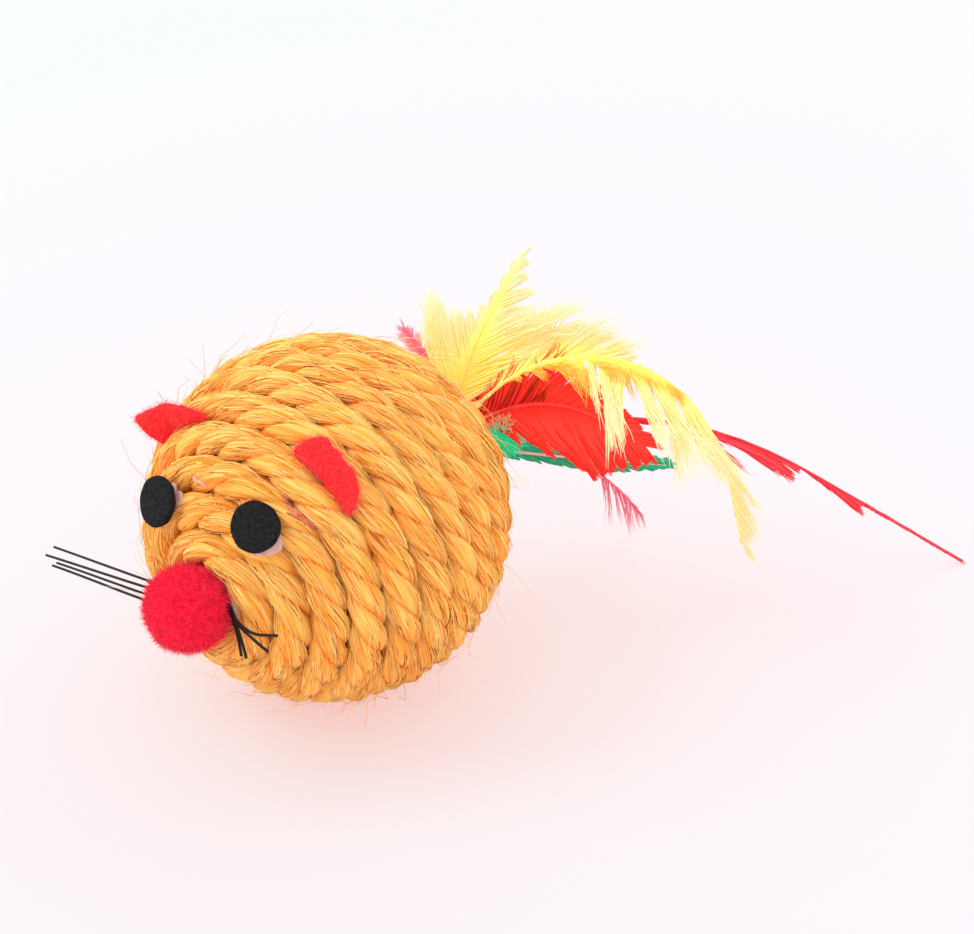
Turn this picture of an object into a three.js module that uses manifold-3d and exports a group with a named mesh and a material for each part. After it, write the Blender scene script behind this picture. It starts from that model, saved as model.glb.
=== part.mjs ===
// Sisal mouse: a cat toy made of a rope-wound ball with a felt and pompom face and a feather tail.
// Millimetres, +Z up. The nose points along -Y, the tail along +Y, and +X is the mouse's left.
// The origin is on the floor, where the front one of the ball's two lowest loops stands on it.

import * as THREE from "three";
import { mergeVertices } from "three/addons/utils/BufferGeometryUtils.js";
import Module from "manifold-3d";

const wasm = await Module();
wasm.setup();

const degree = Math.PI / 180;
const fullTurn = 2 * Math.PI;

// Clearance between touching pieces, and the overrun of a cutter past what it cuts
const gap = 0.3;
const overrun = 1;

// Hollow core: two plastic half balls with a stepped rim
const coreDiameter = 39.5;
const coreWall = 1.5;
const rimLip = 2;
const coreSegments = 32;
const coreArcSteps = 8;

// Sisal rope
const ropeDiameter = 4.75;
const loopSpacing = 4.8;
const wellRadius = 5.7;
const flatDepthShare = 0.1;
const stepsPerLoop = 24;
const ropeSides = 6;

// Where a rope end leaves its last loop and tucks into the core
const tuckRadius = 3.2;
const tuckDrop = 4.4;
const tuckSwing = 60 * degree;
const tuckLead = 2.8;
const tuckPlunge = 2.4;
const tuckSteps = 6;

// Nose: a pompom on a dab of glue
const pompomDiameter = 12.4;
const pompomOffset = 2.3;
const pompomAside = 0.6;
const pompomRise = 0.4;
const pompomSegments = 24;
const noseGlueDiameter = 7;
const noseGlueThickness = 0.5;
const noseStemDiameter = 5;
const noseStemLength = 2.6;

// Whiskers: bristles that cross behind the pompom
const whiskerDiameter = 0.4;
const whiskerReach = 28;
const whiskerSides = 6;
const whiskerSteps = 20;

// Eyes: felt discs on dabs of glue
const eyeDiameter = 6.8;
const eyeThickness = 1;
const eyeGlueDiameter = 5.4;
const eyeGlueThickness = 0.5;
const discEdgeShare = 0.25;
const discSegments = 20;

// Ears: felt flaps that stand in the groove between two loops
const earBaseWidth = 12.6;
const earThickness = 1;
const earStandLength = 1.2;
const earFlapLength = 3.5;
const earLoop = -2;
const earRows = 6;
const earColumns = 6;
const earGlueDiameter = 0.7;
const earGlueShare = 0.8;

// Tail: quills that fan out from a dome of glue
const domeDiameter = 6;
const domeSink = 1.4;
const domeStemLength = 1.6;
const domeSegments = 24;
const domeArcSteps = 6;
const tailReach = 79.5;
const broadestVane = 7;
const quillDiameter = 1;
const vaneThickness = 0.7;
const featherSteps = 18;

// Sizes that follow from those above. A place on the ball has a polar angle from the nose and an
// azimuth round the nose axis, which runs from the mouse's left (0) over the top of the ball (90).
const ropeRadius = ropeDiameter / 2;
const coreRadius = coreDiameter / 2;
const windingRadius = (coreRadius + gap + ropeRadius) / Math.cos(Math.PI / stepsPerLoop);
const ballRadius = windingRadius + ropeRadius;
const loopAngle = loopSpacing / windingRadius;
const wellAngle = Math.asin(wellRadius / windingRadius);
const lowestPolar = (Math.PI - loopAngle) / 2;

function wholeSteps(turns) {
  return Math.floor(turns * stepsPerLoop) / stepsPerLoop;
}

// The two lowest loops lie evenly on either side of the lowest point of the ball.
const turnsToLowest = wholeSteps((lowestPolar - wellAngle) / loopAngle);
const firstPolar = lowestPolar - turnsToLowest * loopAngle;
const firstAzimuth = turnsToLowest * fullTurn - Math.PI / 2;
const turns = wholeSteps((Math.PI - wellAngle - firstPolar) / loopAngle);
const flatDepth = flatDepthShare * ropeDiameter;
const ballHeight = windingRadius * Math.sin(lowestPolar) + ropeRadius - flatDepth;
const ballSetback = windingRadius * Math.cos(lowestPolar);

// Materials
function finish(color, roughness) {
  return new THREE.MeshStandardMaterial({ color, roughness, metalness: 0 });
}

const sisal = finish(0xf5a040, 0.9);
const corePlastic = finish(0xe8e4da, 0.5);
const hotGlue = finish(0xf1ddcf, 0.3);
const pinkPile = finish(0xdf1f45, 1);
const redFelt = finish(0xe5303f, 1);
const blackFelt = finish(0x141416, 1);
const blackNylon = finish(0x101012, 0.35);
const redFeather = finish(0xee1c1c, 0.8);
const crimsonFeather = finish(0xe5406a, 0.9);
const yellowFeather = finish(0xfbe04a, 0.9);
const greenFeather = finish(0x1f9a72, 0.8);

// Welds the points of a geometry and drops the faces that have no area.
function weld(geometry) {
  const bare = geometry.clone();
  bare.deleteAttribute("normal");
  bare.deleteAttribute("uv");
  const merged = mergeVertices(bare);
  const corners = merged.getIndex().array;
  const kept = [];
  for (let i = 0; i < corners.length; i += 3) {
    const [a, b, c] = corners.slice(i, i + 3);
    if (a !== b && b !== c && c !== a) {
      kept.push(a, b, c);
    }
  }
  merged.setIndex(kept);
  return merged;
}

function solidOf(geometry) {
  const welded = weld(geometry);
  return new wasm.Manifold(new wasm.Mesh({
    numProp: 3,
    vertProperties: Float32Array.from(welded.getAttribute("position").array),
    triVerts: Uint32Array.from(welded.getIndex().array),
  }));
}

function geometryOf(solid) {
  const mesh = solid.getMesh();
  const geometry = new THREE.BufferGeometry();
  geometry.setAttribute("position", new THREE.BufferAttribute(mesh.vertProperties, 3));
  geometry.setIndex(Array.from(mesh.triVerts));
  return geometry;
}

function cut(geometry, cutters) {
  const solids = cutters.map(solidOf);
  return geometryOf(solids.reduce((body, cutter) => body.subtract(cutter), solidOf(geometry)));
}

// A closed skin over rings of points, which all have the same even number of points. Each end is
// capped by rungs between the ring's first and last half.
function skin(rings) {
  const sides = rings[0].length;
  const positions = rings.flat().flatMap((point) => point.toArray());
  const faces = [];
  for (let r = 0; r + 1 < rings.length; r += 1) {
    for (let s = 0; s < sides; s += 1) {
      const a = r * sides + s;
      const b = r * sides + (s + 1) % sides;
      faces.push(a, b, b + sides, a, b + sides, a + sides);
    }
  }
  const last = (rings.length - 1) * sides;
  for (let a = 0; a + 1 < sides / 2; a += 1) {
    const b = a + 1;
    const c = sides - 2 - a;
    const d = sides - 1 - a;
    faces.push(a, c, b, a, d, c, last + a, last + b, last + c, last + a, last + c, last + d);
  }
  const geometry = new THREE.BufferGeometry();
  geometry.setAttribute("position", new THREE.Float32BufferAttribute(positions, 3));
  geometry.setIndex(faces);
  return geometry;
}

// Rings of a tube along stations, each with a point and the way out that its first corner faces
function tubeRings(stations, radius, sides) {
  return stations.map((station, i) => {
    const before = stations[Math.max(i - 1, 0)].point;
    const after = stations[Math.min(i + 1, stations.length - 1)].point;
    const along = after.clone().sub(before).normalize();
    const out = station.out.clone().addScaledVector(along, -station.out.dot(along)).normalize();
    const side = along.clone().cross(out);
    return Array.from({ length: sides }, (_, s) => {
      const angle = s * fullTurn / sides;
      return station.point.clone()
        .addScaledVector(out, radius * Math.cos(angle))
        .addScaledVector(side, radius * Math.sin(angle));
    });
  });
}

// A turned piece: its outline runs from the axis out and back to the axis, and it stands along
// a direction, from a base point.
function turned(outline, segments, direction, base) {
  const geometry = new THREE.LatheGeometry(outline, segments);
  const turn = new THREE.Quaternion().setFromUnitVectors(new THREE.Vector3(0, 1, 0), direction);
  geometry.applyQuaternion(turn);
  geometry.translate(base.x, base.y, base.z);
  return geometry;
}

function arcPoints(radius, from, to, steps) {
  return Array.from({ length: steps + 1 }, (_, i) => {
    const angle = from + (to - from) * i / steps;
    return new THREE.Vector2(radius * Math.cos(angle), radius * Math.sin(angle));
  });
}

function ballDirection(polar, azimuth) {
  return new THREE.Vector3(
    Math.sin(polar) * Math.cos(azimuth),
    -Math.cos(polar),
    Math.sin(polar) * Math.sin(azimuth),
  );
}

const nose = ballDirection(0, 0);
const rear = ballDirection(Math.PI, 0);

// The rope's middle line on the ball, a number of turns from the nose end
function windingStation(turn) {
  const out = ballDirection(firstPolar + turn * loopAngle, firstAzimuth - turn * fullTurn);
  return { point: out.clone().multiplyScalar(windingRadius), out };
}

// The radius on the ball at which a thing clears the sloping faces of the rope by a margin, a way
// off the middle of a groove
function overGroove(offset, margin) {
  const slope = Math.PI / ropeSides;
  return ballRadius - (loopSpacing / 2 - offset) * Math.tan(slope) + margin / Math.cos(slope);
}

// The polar angle of a groove between two loops, counted from the groove at the lowest point
function groovePolar(loop, azimuth) {
  const turnsUp = (azimuth + Math.PI / 2) / fullTurn;
  return Math.PI / 2 + (loop - turnsUp) * loopAngle;
}

// The tuck at an end: the rope swings in towards the axis and dives into the core, and its last
// stretch, one diameter long, is straight.
function tuckStations(turn, direction) {
  const { point, out } = windingStation(turn);
  const travel = windingStation(turn + direction / stepsPerLoop).point.sub(point);
  travel.addScaledVector(out, -travel.dot(out)).normalize();
  const pole = new THREE.Vector3(0, Math.sign(point.y), 0);
  const azimuth = Math.atan2(point.z, point.x) - direction * tuckSwing;
  const seat = ballDirection(Math.PI / 2, azimuth).multiplyScalar(tuckRadius);
  seat.addScaledVector(pole, Math.abs(point.y) - tuckDrop);
  const dive = new THREE.CubicBezierCurve3(
    point,
    point.clone().addScaledVector(travel, tuckLead),
    seat.clone().addScaledVector(pole, tuckPlunge),
    seat,
  );
  const stations = [];
  for (let i = 1; i <= tuckSteps; i += 1) {
    const share = i / tuckSteps;
    const facing = out.clone().multiplyScalar(1 - share).addScaledVector(travel, share);
    stations.push({ point: dive.getPoint(share), out: facing });
  }
  stations.push({ point: seat.clone().addScaledVector(pole, -ropeDiameter), out: travel });
  return stations;
}

const noseTuck = tuckStations(0, -1).reverse();
const tailTuck = tuckStations(turns, 1);
const winding = Array.from(
  { length: Math.round(turns * stepsPerLoop) + 1 },
  (_, i) => windingStation(i / stepsPerLoop),
);

// Room for a tuck in what it passes through
function tuckCutter(stations) {
  return skin(tubeRings(stations, ropeRadius + gap, ropeSides));
}

const noseTuckCutter = tuckCutter([...noseTuck, ...winding.slice(0, 2)]);
const tailTuckCutter = tuckCutter([...winding.slice(-2), ...tailTuck]);

// Rope: cut flat where the ball rests
function ropeGeometry() {
  const rings = tubeRings([...noseTuck, ...winding, ...tailTuck], ropeRadius, ropeSides);
  reportRopeGap(rings);
  const width = 2 * (ballRadius + overrun);
  const floor = new THREE.BoxGeometry(width, width, ballRadius);
  floor.translate(0, 0, -ballHeight - ballRadius / 2);
  return cut(skin(rings), [floor]);
}

// The least gap between rope surfaces that lie more than half a loop apart along the rope, measured
// between points on the corners and the middles of the rope's faces
function reportRopeGap(rings) {
  const spread = rings.map((ring) => ring.flatMap((point, s) => {
    const next = ring[(s + 1) % ring.length];
    return [point, point.clone().lerp(next, 0.5)];
  }));
  let least = Infinity;
  for (let i = 0; i < spread.length; i += 1) {
    for (let j = i + stepsPerLoop / 2; j < spread.length; j += 1) {
      if (rings[i][0].distanceTo(rings[j][0]) < 2 * loopSpacing + ropeDiameter) {
        for (const a of spread[i]) {
          for (const b of spread[j]) {
            least = Math.min(least, a.distanceTo(b));
          }
        }
      }
    }
  }
  console.log(`least gap of the rope to itself: ${least.toFixed(2)} mm`);
}

// Core: the front half's rim has a tongue on the inside of its wall, and the rear half's rim
// closes round it.
function coreFrontGeometry() {
  const inner = coreRadius - coreWall;
  const tongue = inner + (coreWall - gap) / 2;
  const seam = Math.asin(gap / 2 / coreRadius);
  const outline = [
    ...arcPoints(coreRadius, -Math.PI / 2, -seam, coreArcSteps),
    new THREE.Vector2(tongue, -gap / 2),
    new THREE.Vector2(tongue, rimLip),
    new THREE.Vector2(inner, rimLip),
    ...arcPoints(inner, 0, -Math.PI / 2, coreArcSteps),
  ];
  return cut(new THREE.LatheGeometry(outline, coreSegments), [noseTuckCutter]);
}

function coreRearGeometry() {
  const inner = coreRadius - coreWall;
  const lip = inner + (coreWall + gap) / 2;
  const seam = Math.asin(gap / 2 / coreRadius);
  const step = Math.asin((rimLip + gap) / inner);
  const outline = [
    ...arcPoints(inner, Math.PI / 2, step, coreArcSteps),
    new THREE.Vector2(lip, rimLip + gap),
    new THREE.Vector2(lip, gap / 2),
    ...arcPoints(coreRadius, seam, Math.PI / 2, coreArcSteps),
  ];
  return cut(new THREE.LatheGeometry(outline, coreSegments), [tailTuckCutter]);
}

// Nose: the glue fills the well at the front pole, and the whiskers run across it
const noseGlueTop = ballRadius + gap + noseGlueThickness;
const whiskerPlane = noseGlueTop + gap + whiskerDiameter / 2;
const pompomSeat = whiskerPlane + whiskerDiameter / 2 + gap;

function noseGlueGeometry() {
  const stem = noseStemDiameter / 2;
  const pad = noseGlueDiameter / 2;
  const underside = ballRadius + gap;
  const outline = [
    new THREE.Vector2(0, underside - noseStemLength),
    new THREE.Vector2(stem, underside - noseStemLength),
    new THREE.Vector2(stem, underside),
    new THREE.Vector2(pad, underside),
    new THREE.Vector2(pad - noseGlueThickness / 2, noseGlueTop),
    new THREE.Vector2(0, noseGlueTop),
  ];
  return cut(turned(outline, discSegments, nose, new THREE.Vector3()), [noseTuckCutter]);
}

// Each whisker's places are shares of the whisker's reach, across and up from the nose: its tip on
// the mouse's right, behind the pompom, at the pompom's edge, past it, and its tip on the left.
const whiskerShares = [
  [[-0.936, -0.106], [0, 0.067], [0.29, 0.132], [0.37, 0.072], [0.571, 0.11]],
  [[-1, -0.185], [0, 0.036], [0.272, 0.108], [0.345, 0.046], [0.508, -0.014]],
  [[-0.925, -0.196], [0, -0.004], [0.254, 0.084], [0.318, 0.022], [0.362, -0.124]],
  [[-0.959, -0.228], [0, -0.04], [0.236, 0.06], [0.291, 0.002], [0.33, -0.126]],
];

function whiskerStations(shares) {
  const route = new THREE.CatmullRomCurve3(shares.map(([across, up]) => (
    new THREE.Vector3(across * whiskerReach, -whiskerPlane, up * whiskerReach)
  )));
  return route.getPoints(whiskerSteps).map((point) => ({ point, out: nose }));
}

function whiskerTube(shares, radius) {
  return skin(tubeRings(whiskerStations(shares), radius, whiskerSides));
}

function pompomGeometry() {
  const ball = new THREE.SphereGeometry(pompomDiameter / 2, pompomSegments, pompomSegments / 2);
  ball.translate(pompomAside, -ballRadius - pompomOffset, pompomRise);
  const seat = new THREE.BoxGeometry(2 * pompomDiameter, pompomDiameter, 2 * pompomDiameter);
  seat.translate(0, pompomDiameter / 2 - pompomSeat, 0);
  return cut(ball, [seat]);
}

// Eyes: each is placed by its polar angle and azimuth
const eyePlaces = {
  left: { polar: 36.5 * degree, azimuth: 60 * degree },
  right: { polar: 31.5 * degree, azimuth: 130 * degree },
};
const eyeGlueBase = ballRadius + gap;
const eyeBase = eyeGlueBase + eyeGlueThickness + gap;

function discGeometry(diameter, thickness) {
  const radius = diameter / 2;
  const edge = discEdgeShare * thickness;
  return new THREE.LatheGeometry([
    new THREE.Vector2(0, 0),
    new THREE.Vector2(radius - edge, 0),
    new THREE.Vector2(radius, edge),
    new THREE.Vector2(radius, thickness - edge),
    new THREE.Vector2(radius - edge, thickness),
    new THREE.Vector2(0, thickness),
  ], discSegments);
}

function onBall(mesh, { polar, azimuth }, radius) {
  const direction = ballDirection(polar, azimuth);
  mesh.position.copy(direction).multiplyScalar(radius);
  mesh.quaternion.setFromUnitVectors(new THREE.Vector3(0, 1, 0), direction);
  return mesh;
}

// Ears: the left one leans back over the next loop, the right one stands up. Each is taller at one end.
const earPlaces = {
  left: { azimuth: 57 * degree, lean: 62 * degree, tallerShare: 0.2 },
  right: { azimuth: 132 * degree, lean: 0, tallerShare: 0.4 },
};
const earTaperShare = 0.3;
const earCornerShare = 0.18;
const earSeatRadius = overGroove(earThickness / 2, gap);

// The ear's middle surface: across runs from -1 to 1, and up from 0 at its seat to 1 at its edge.
function earPoint({ azimuth, lean, tallerShare }, across, up) {
  const halfAngle = earBaseWidth / 2 / earSeatRadius;
  const turn = azimuth + across * halfAngle * (1 - earTaperShare * up ** 2);
  const polar = groovePolar(earLoop, turn);
  const outward = ballDirection(polar, turn);
  const backward = ballDirection(polar + Math.PI / 2, turn);
  const corner = 1 - earCornerShare * across ** 4;
  const reach = earStandLength + earFlapLength * corner * (1 + tallerShare * across);
  const straight = Math.min(up * reach, earStandLength);
  const leaning = Math.max(up * reach - earStandLength, 0);
  return outward.clone().multiplyScalar(earSeatRadius + straight + leaning * Math.cos(lean))
    .addScaledVector(backward, leaning * Math.sin(lean));
}

function earGeometry(place) {
  const half = earThickness / 2;
  const rings = Array.from({ length: earRows + 1 }, (_, row) => {
    const up = row / earRows;
    const middle = Array.from({ length: earColumns + 1 }, (__, column) => (
      earPoint(place, 2 * column / earColumns - 1, up)
    ));
    const faces = middle.map((point, column) => {
      const before = middle[Math.max(column - 1, 0)];
      const after = middle[Math.min(column + 1, earColumns)];
      const across = 2 * column / earColumns - 1;
      const below = earPoint(place, across, Math.max(up - 1 / earRows, 0));
      const above = earPoint(place, across, Math.min(up + 1 / earRows, 1));
      const normal = after.clone().sub(before).cross(above.sub(below)).normalize();
      return [point.clone().addScaledVector(normal, half), point.clone().addScaledVector(normal, -half)];
    });
    return [...faces.map(([front]) => front), ...faces.map(([, back]) => back).reverse()];
  });
  return skin(rings);
}

// A bead of glue along the front of the ear, resting on the loop before it
function earGlueGeometry({ azimuth }) {
  const radius = earGlueDiameter / 2;
  const forward = earThickness / 2 + gap + radius;
  const beadRadius = overGroove(forward, radius + gap);
  const halfAngle = earGlueShare * earBaseWidth / 2 / earSeatRadius;
  const stations = Array.from({ length: earColumns + 1 }, (_, i) => {
    const turn = azimuth + (2 * i / earColumns - 1) * halfAngle;
    const out = ballDirection(groovePolar(earLoop, turn) - forward / beadRadius, turn);
    return { point: out.clone().multiplyScalar(beadRadius), out };
  });
  return skin(tubeRings(stations, radius, ropeSides));
}

// Tail glue: a dome in the well at the rear pole. The feathers fan out from its middle.
const domeRadius = domeDiameter / 2;
const domeMiddle = new THREE.Vector3(0, ballRadius - domeSink, 0);

function tailGlueGeometry() {
  const outline = [
    new THREE.Vector2(0, -domeStemLength),
    new THREE.Vector2(domeRadius, -domeStemLength),
    ...arcPoints(domeRadius, 0, Math.PI / 2, domeArcSteps),
  ];
  return cut(turned(outline, domeSegments, rear, domeMiddle), [tailTuckCutter]);
}

// Feathers: lengths are shares of the longest quill, and vanes of the broadest vane. A quill's
// heading is its turn from straight back towards the mouse's left, and its rise is its angle above
// level. Each goes from its first to its second value over the bend share of the quill. The near
// vane is on the side of the mouse's left, and roll tips it down.
const feathers = {
  long_red_feather: {
    material: redFeather,
    lengthShare: 1,
    heading: [46, 44.5],
    rise: [13, -36],
    bendShare: 0.71,
    roll: 15,
    nearVaneShare: 0.37,
    farVaneShare: 0.14,
    stemShare: 0.3,
    fullness: 0.7,
  },
  broad_red_feather: {
    material: redFeather,
    lengthShare: 0.34,
    heading: [46, 66],
    rise: [35, -26],
    bendShare: 0.9,
    roll: 20,
    nearVaneShare: 0.86,
    farVaneShare: 0.71,
    stemShare: 0.15,
    fullness: 0.6,
  },
  green_feather: {
    material: greenFeather,
    lengthShare: 0.365,
    heading: [46, 40],
    rise: [-10, -11],
    bendShare: 0.9,
    roll: 15,
    nearVaneShare: 0.51,
    farVaneShare: 0.51,
    stemShare: 0.15,
    fullness: 0.6,
  },
  yellow_upper_plume: {
    material: yellowFeather,
    lengthShare: 0.333,
    heading: [5, 24],
    rise: [68, 58],
    bendShare: 0.9,
    roll: 25,
    nearVaneShare: 1,
    farVaneShare: 1,
    stemShare: 0.3,
    fullness: 0.6,
  },
  yellow_drooping_plume: {
    material: yellowFeather,
    lengthShare: 0.792,
    heading: [58, 57],
    rise: [56, -78],
    bendShare: 0.9,
    roll: 0,
    nearVaneShare: 0.64,
    farVaneShare: 0.64,
    stemShare: 0.3,
    fullness: 0.6,
  },
  crimson_left_plume: {
    material: crimsonFeather,
    lengthShare: 0.22,
    heading: [-35, -75],
    rise: [26, 20],
    bendShare: 0.6,
    roll: -30,
    nearVaneShare: 0.43,
    farVaneShare: 0.43,
    stemShare: 0.2,
    fullness: 0.6,
  },
  crimson_low_plume: {
    material: crimsonFeather,
    lengthShare: 0.415,
    heading: [16, 56],
    rise: [-14, -50],
    bendShare: 1,
    roll: 10,
    nearVaneShare: 0.43,
    farVaneShare: 0.43,
    stemShare: 0.2,
    fullness: 0.6,
  },
};
const tipShare = 0.12;

// A quill's stations: where it is, which way it runs, and the way that its near vane points
function quillStations({ lengthShare, heading, rise, bendShare, roll }) {
  const step = lengthShare * tailReach / featherSteps;
  const stations = [];
  for (let i = 0; i <= featherSteps; i += 1) {
    const bend = THREE.MathUtils.smoothstep(i / featherSteps, 0, bendShare);
    const turn = THREE.MathUtils.lerp(heading[0], heading[1], bend) * degree;
    const lift = THREE.MathUtils.lerp(rise[0], rise[1], bend) * degree;
    const along = new THREE.Vector3(
      Math.sin(turn) * Math.cos(lift),
      Math.cos(turn) * Math.cos(lift),
      Math.sin(lift),
    );
    const near = new THREE.Vector3(Math.cos(turn), -Math.sin(turn), 0);
    near.applyAxisAngle(along, roll * degree);
    const last = stations[i - 1];
    const point = last
      ? last.point.clone().addScaledVector(last.along.clone().add(along).normalize(), step)
      : along.clone().multiplyScalar(domeRadius + gap);
    stations.push({ point, along, near });
  }
  return stations;
}

// A feather: a round quill that flattens into a leaf-shaped blade
function featherGeometry(feather) {
  const { nearVaneShare, farVaneShare, stemShare, fullness } = feather;
  const rings = quillStations(feather).map(({ point, along, near }, i) => {
    const share = i / featherSteps;
    const leafShare = Math.max(share - stemShare, 0) / (1 - stemShare);
    const leaf = Math.max(Math.sin(Math.PI * leafShare), 0) ** fullness;
    const quill = quillDiameter / 2 * (1 - share * (1 - tipShare));
    const blade = Math.min(vaneThickness / 2, quill);
    const up = along.clone().cross(near);
    const edge = (vaneShare) => quill + (vaneShare * broadestVane - quill) * leaf;
    const nearEdge = edge(nearVaneShare);
    const farEdge = -edge(farVaneShare);
    return [
      [nearEdge, 0],
      [nearEdge / 2, blade],
      [0, quill],
      [farEdge / 2, blade],
      [farEdge, 0],
      [farEdge / 2, -blade],
      [0, -quill],
      [nearEdge / 2, -blade],
    ].map(([across, raised]) => (
      point.clone().addScaledVector(near, across).addScaledVector(up, raised)
    ));
  });
  return skin(rings);
}

// Assembly
function piece(name, geometry, material) {
  const mesh = new THREE.Mesh(weld(geometry), material);
  mesh.name = name;
  return mesh;
}

const ball = new THREE.Group();
ball.position.set(0, ballSetback, ballHeight);
ball.add(piece("core_front_shell", coreFrontGeometry(), corePlastic));
ball.add(piece("core_rear_shell", coreRearGeometry(), corePlastic));
ball.add(piece("sisal_rope", ropeGeometry(), sisal));
ball.add(piece("nose_glue", noseGlueGeometry(), hotGlue));
ball.add(piece("nose_pompom", pompomGeometry(), pinkPile));
whiskerShares.forEach((shares, i) => {
  ball.add(piece(`whisker_${i + 1}`, whiskerTube(shares, whiskerDiameter / 2), blackNylon));
});
for (const [side, place] of Object.entries(eyePlaces)) {
  const dab = piece(`eye_glue_${side}`, discGeometry(eyeGlueDiameter, eyeGlueThickness), hotGlue);
  const eye = piece(`eye_${side}`, discGeometry(eyeDiameter, eyeThickness), blackFelt);
  ball.add(onBall(dab, place, eyeGlueBase), onBall(eye, place, eyeBase));
}
for (const [side, place] of Object.entries(earPlaces)) {
  ball.add(piece(`ear_${side}`, earGeometry(place), redFelt));
  ball.add(piece(`ear_glue_${side}`, earGlueGeometry(place), hotGlue));
}
ball.add(piece("tail_glue_plug", tailGlueGeometry(), hotGlue));

const tail = new THREE.Group();
tail.position.copy(domeMiddle);
for (const [name, feather] of Object.entries(feathers)) {
  tail.add(piece(name, featherGeometry(feather), feather.material));
}
ball.add(tail);

const group = new THREE.Group();
group.add(ball);

export default group;
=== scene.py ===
from math import asin, cos, floor, pi, radians, sin, tau
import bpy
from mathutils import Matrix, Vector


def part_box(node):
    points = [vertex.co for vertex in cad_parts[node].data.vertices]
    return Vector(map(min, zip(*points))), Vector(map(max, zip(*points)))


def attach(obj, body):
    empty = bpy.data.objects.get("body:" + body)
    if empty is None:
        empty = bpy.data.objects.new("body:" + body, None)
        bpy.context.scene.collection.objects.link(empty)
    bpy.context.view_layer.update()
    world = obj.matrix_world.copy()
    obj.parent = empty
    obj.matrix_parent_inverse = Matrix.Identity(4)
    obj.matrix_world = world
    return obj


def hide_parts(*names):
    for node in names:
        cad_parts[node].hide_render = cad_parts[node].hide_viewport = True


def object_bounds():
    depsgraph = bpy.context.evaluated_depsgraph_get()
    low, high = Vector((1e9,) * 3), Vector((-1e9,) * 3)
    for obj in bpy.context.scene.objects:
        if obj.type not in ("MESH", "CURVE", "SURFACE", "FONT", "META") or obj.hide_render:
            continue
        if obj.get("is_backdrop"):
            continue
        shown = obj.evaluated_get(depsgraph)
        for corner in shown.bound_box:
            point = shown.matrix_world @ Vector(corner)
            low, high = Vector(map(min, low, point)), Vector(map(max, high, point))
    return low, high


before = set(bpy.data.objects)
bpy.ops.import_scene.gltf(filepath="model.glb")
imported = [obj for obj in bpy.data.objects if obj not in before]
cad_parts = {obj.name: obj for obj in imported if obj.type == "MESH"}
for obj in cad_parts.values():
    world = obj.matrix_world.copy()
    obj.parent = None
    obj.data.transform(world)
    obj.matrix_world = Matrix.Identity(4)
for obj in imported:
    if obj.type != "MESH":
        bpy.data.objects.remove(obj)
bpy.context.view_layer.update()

from types import SimpleNamespace

import bmesh
import bpy
from mathutils import Euler, Quaternion, Vector
from mathutils.bvhtree import BVHTree
from mathutils.geometry import interpolate_bezier
from mathutils.noise import noise as noise_value, seed_set, turbulence, turbulence_vector

# Studio: a pale floor, a white room and a camera at the photograph's angle, which looks down on the
# toy's left cheek.
mm = 0.001
front_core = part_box("core_front_shell")
rear_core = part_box("core_rear_shell")
ball_middle = Vector((
    0,
    (front_core[0].y + rear_core[1].y) / 2,
    (front_core[0].z + front_core[1].z) / 2,
))


def socket_value(colour):
    """A colour written as it looks on a screen, 0 to 255, as a shader takes it."""
    steps = [c / 255 for c in colour]
    return [c / 12.92 if c <= 0.04045 else ((c + 0.055) / 1.055) ** 2.4 for c in steps] + [1]


class Wire:
    """A node's output. A sum that is written with wires makes the nodes that work it out."""

    def __init__(self, socket):
        self.socket = socket
        self.tree = socket.id_data
        self.wide = socket.type in ("VECTOR", "RGBA")


def fill(made, inputs):
    """Fills a node's inputs, by name or number, with values or wires."""
    for key, value in inputs.items():
        if isinstance(value, Wire):
            value.tree.links.new(value.socket, made.inputs[key])
        else:
            made.inputs[key].default_value = value
    return made


def node(tree, kind, inputs={}, **settings):
    made = tree.nodes.new(kind)
    for name, setting in settings.items():
        setattr(made, name, setting)
    return fill(made, inputs)


def wire(tree, kind, inputs={}, output=0, **settings):
    return Wire(node(tree, kind, inputs, **settings).outputs[output])


def tree_of(*values):
    return next(value.tree for value in values if isinstance(value, Wire))


def reckon(operation, *values):
    """A sum's wire, from a Vector Math node where a value is a vector, or else a Math node."""
    tree, inputs = tree_of(*values), dict(enumerate(values))
    wide = [isinstance(v, tuple) or isinstance(v, Wire) and v.wide for v in values]
    if not any(wide):
        return wire(tree, "ShaderNodeMath", inputs, operation=operation)
    if operation == "MULTIPLY":
        arrow, size = values if wide[0] else values[::-1]
        return wire(tree, "ShaderNodeVectorMath", {0: arrow, "Scale": size}, operation="SCALE")
    output = "Value" if operation in ("DOT_PRODUCT", "LENGTH") else "Vector"
    return wire(tree, "ShaderNodeVectorMath", inputs, output, operation=operation)


# The signs that wires may be written with: +, -, *, /, ** and >.
for sign, operation in (("add", "ADD"), ("sub", "SUBTRACT"), ("mul", "MULTIPLY"),
                        ("truediv", "DIVIDE"), ("pow", "POWER"), ("gt", "GREATER_THAN")):
    setattr(Wire, f"__{sign}__", lambda one, two, o=operation: reckon(o, one, two))
    setattr(Wire, f"__r{sign}__", lambda one, two, o=operation: reckon(o, two, one))


def blended(factor, one, two, mode="MIX"):
    return wire(tree_of(factor, one, two), "ShaderNodeMix", {0: factor, 6: one, 7: two}, 2,
                data_type="RGBA", blend_type=mode)


def scaled(value, low, high, to_low=0.0, to_high=1.0, curve="LINEAR"):
    """A value between low and high, carried over to another range and held at its ends."""
    return wire(value.tree, "ShaderNodeMapRange", {
        "Value": value, "From Min": low, "From Max": high, "To Min": to_low, "To Max": to_high,
    }, interpolation_type=curve)


def object_place(tree):
    return wire(tree, "ShaderNodeTexCoord", output="Object")


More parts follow.
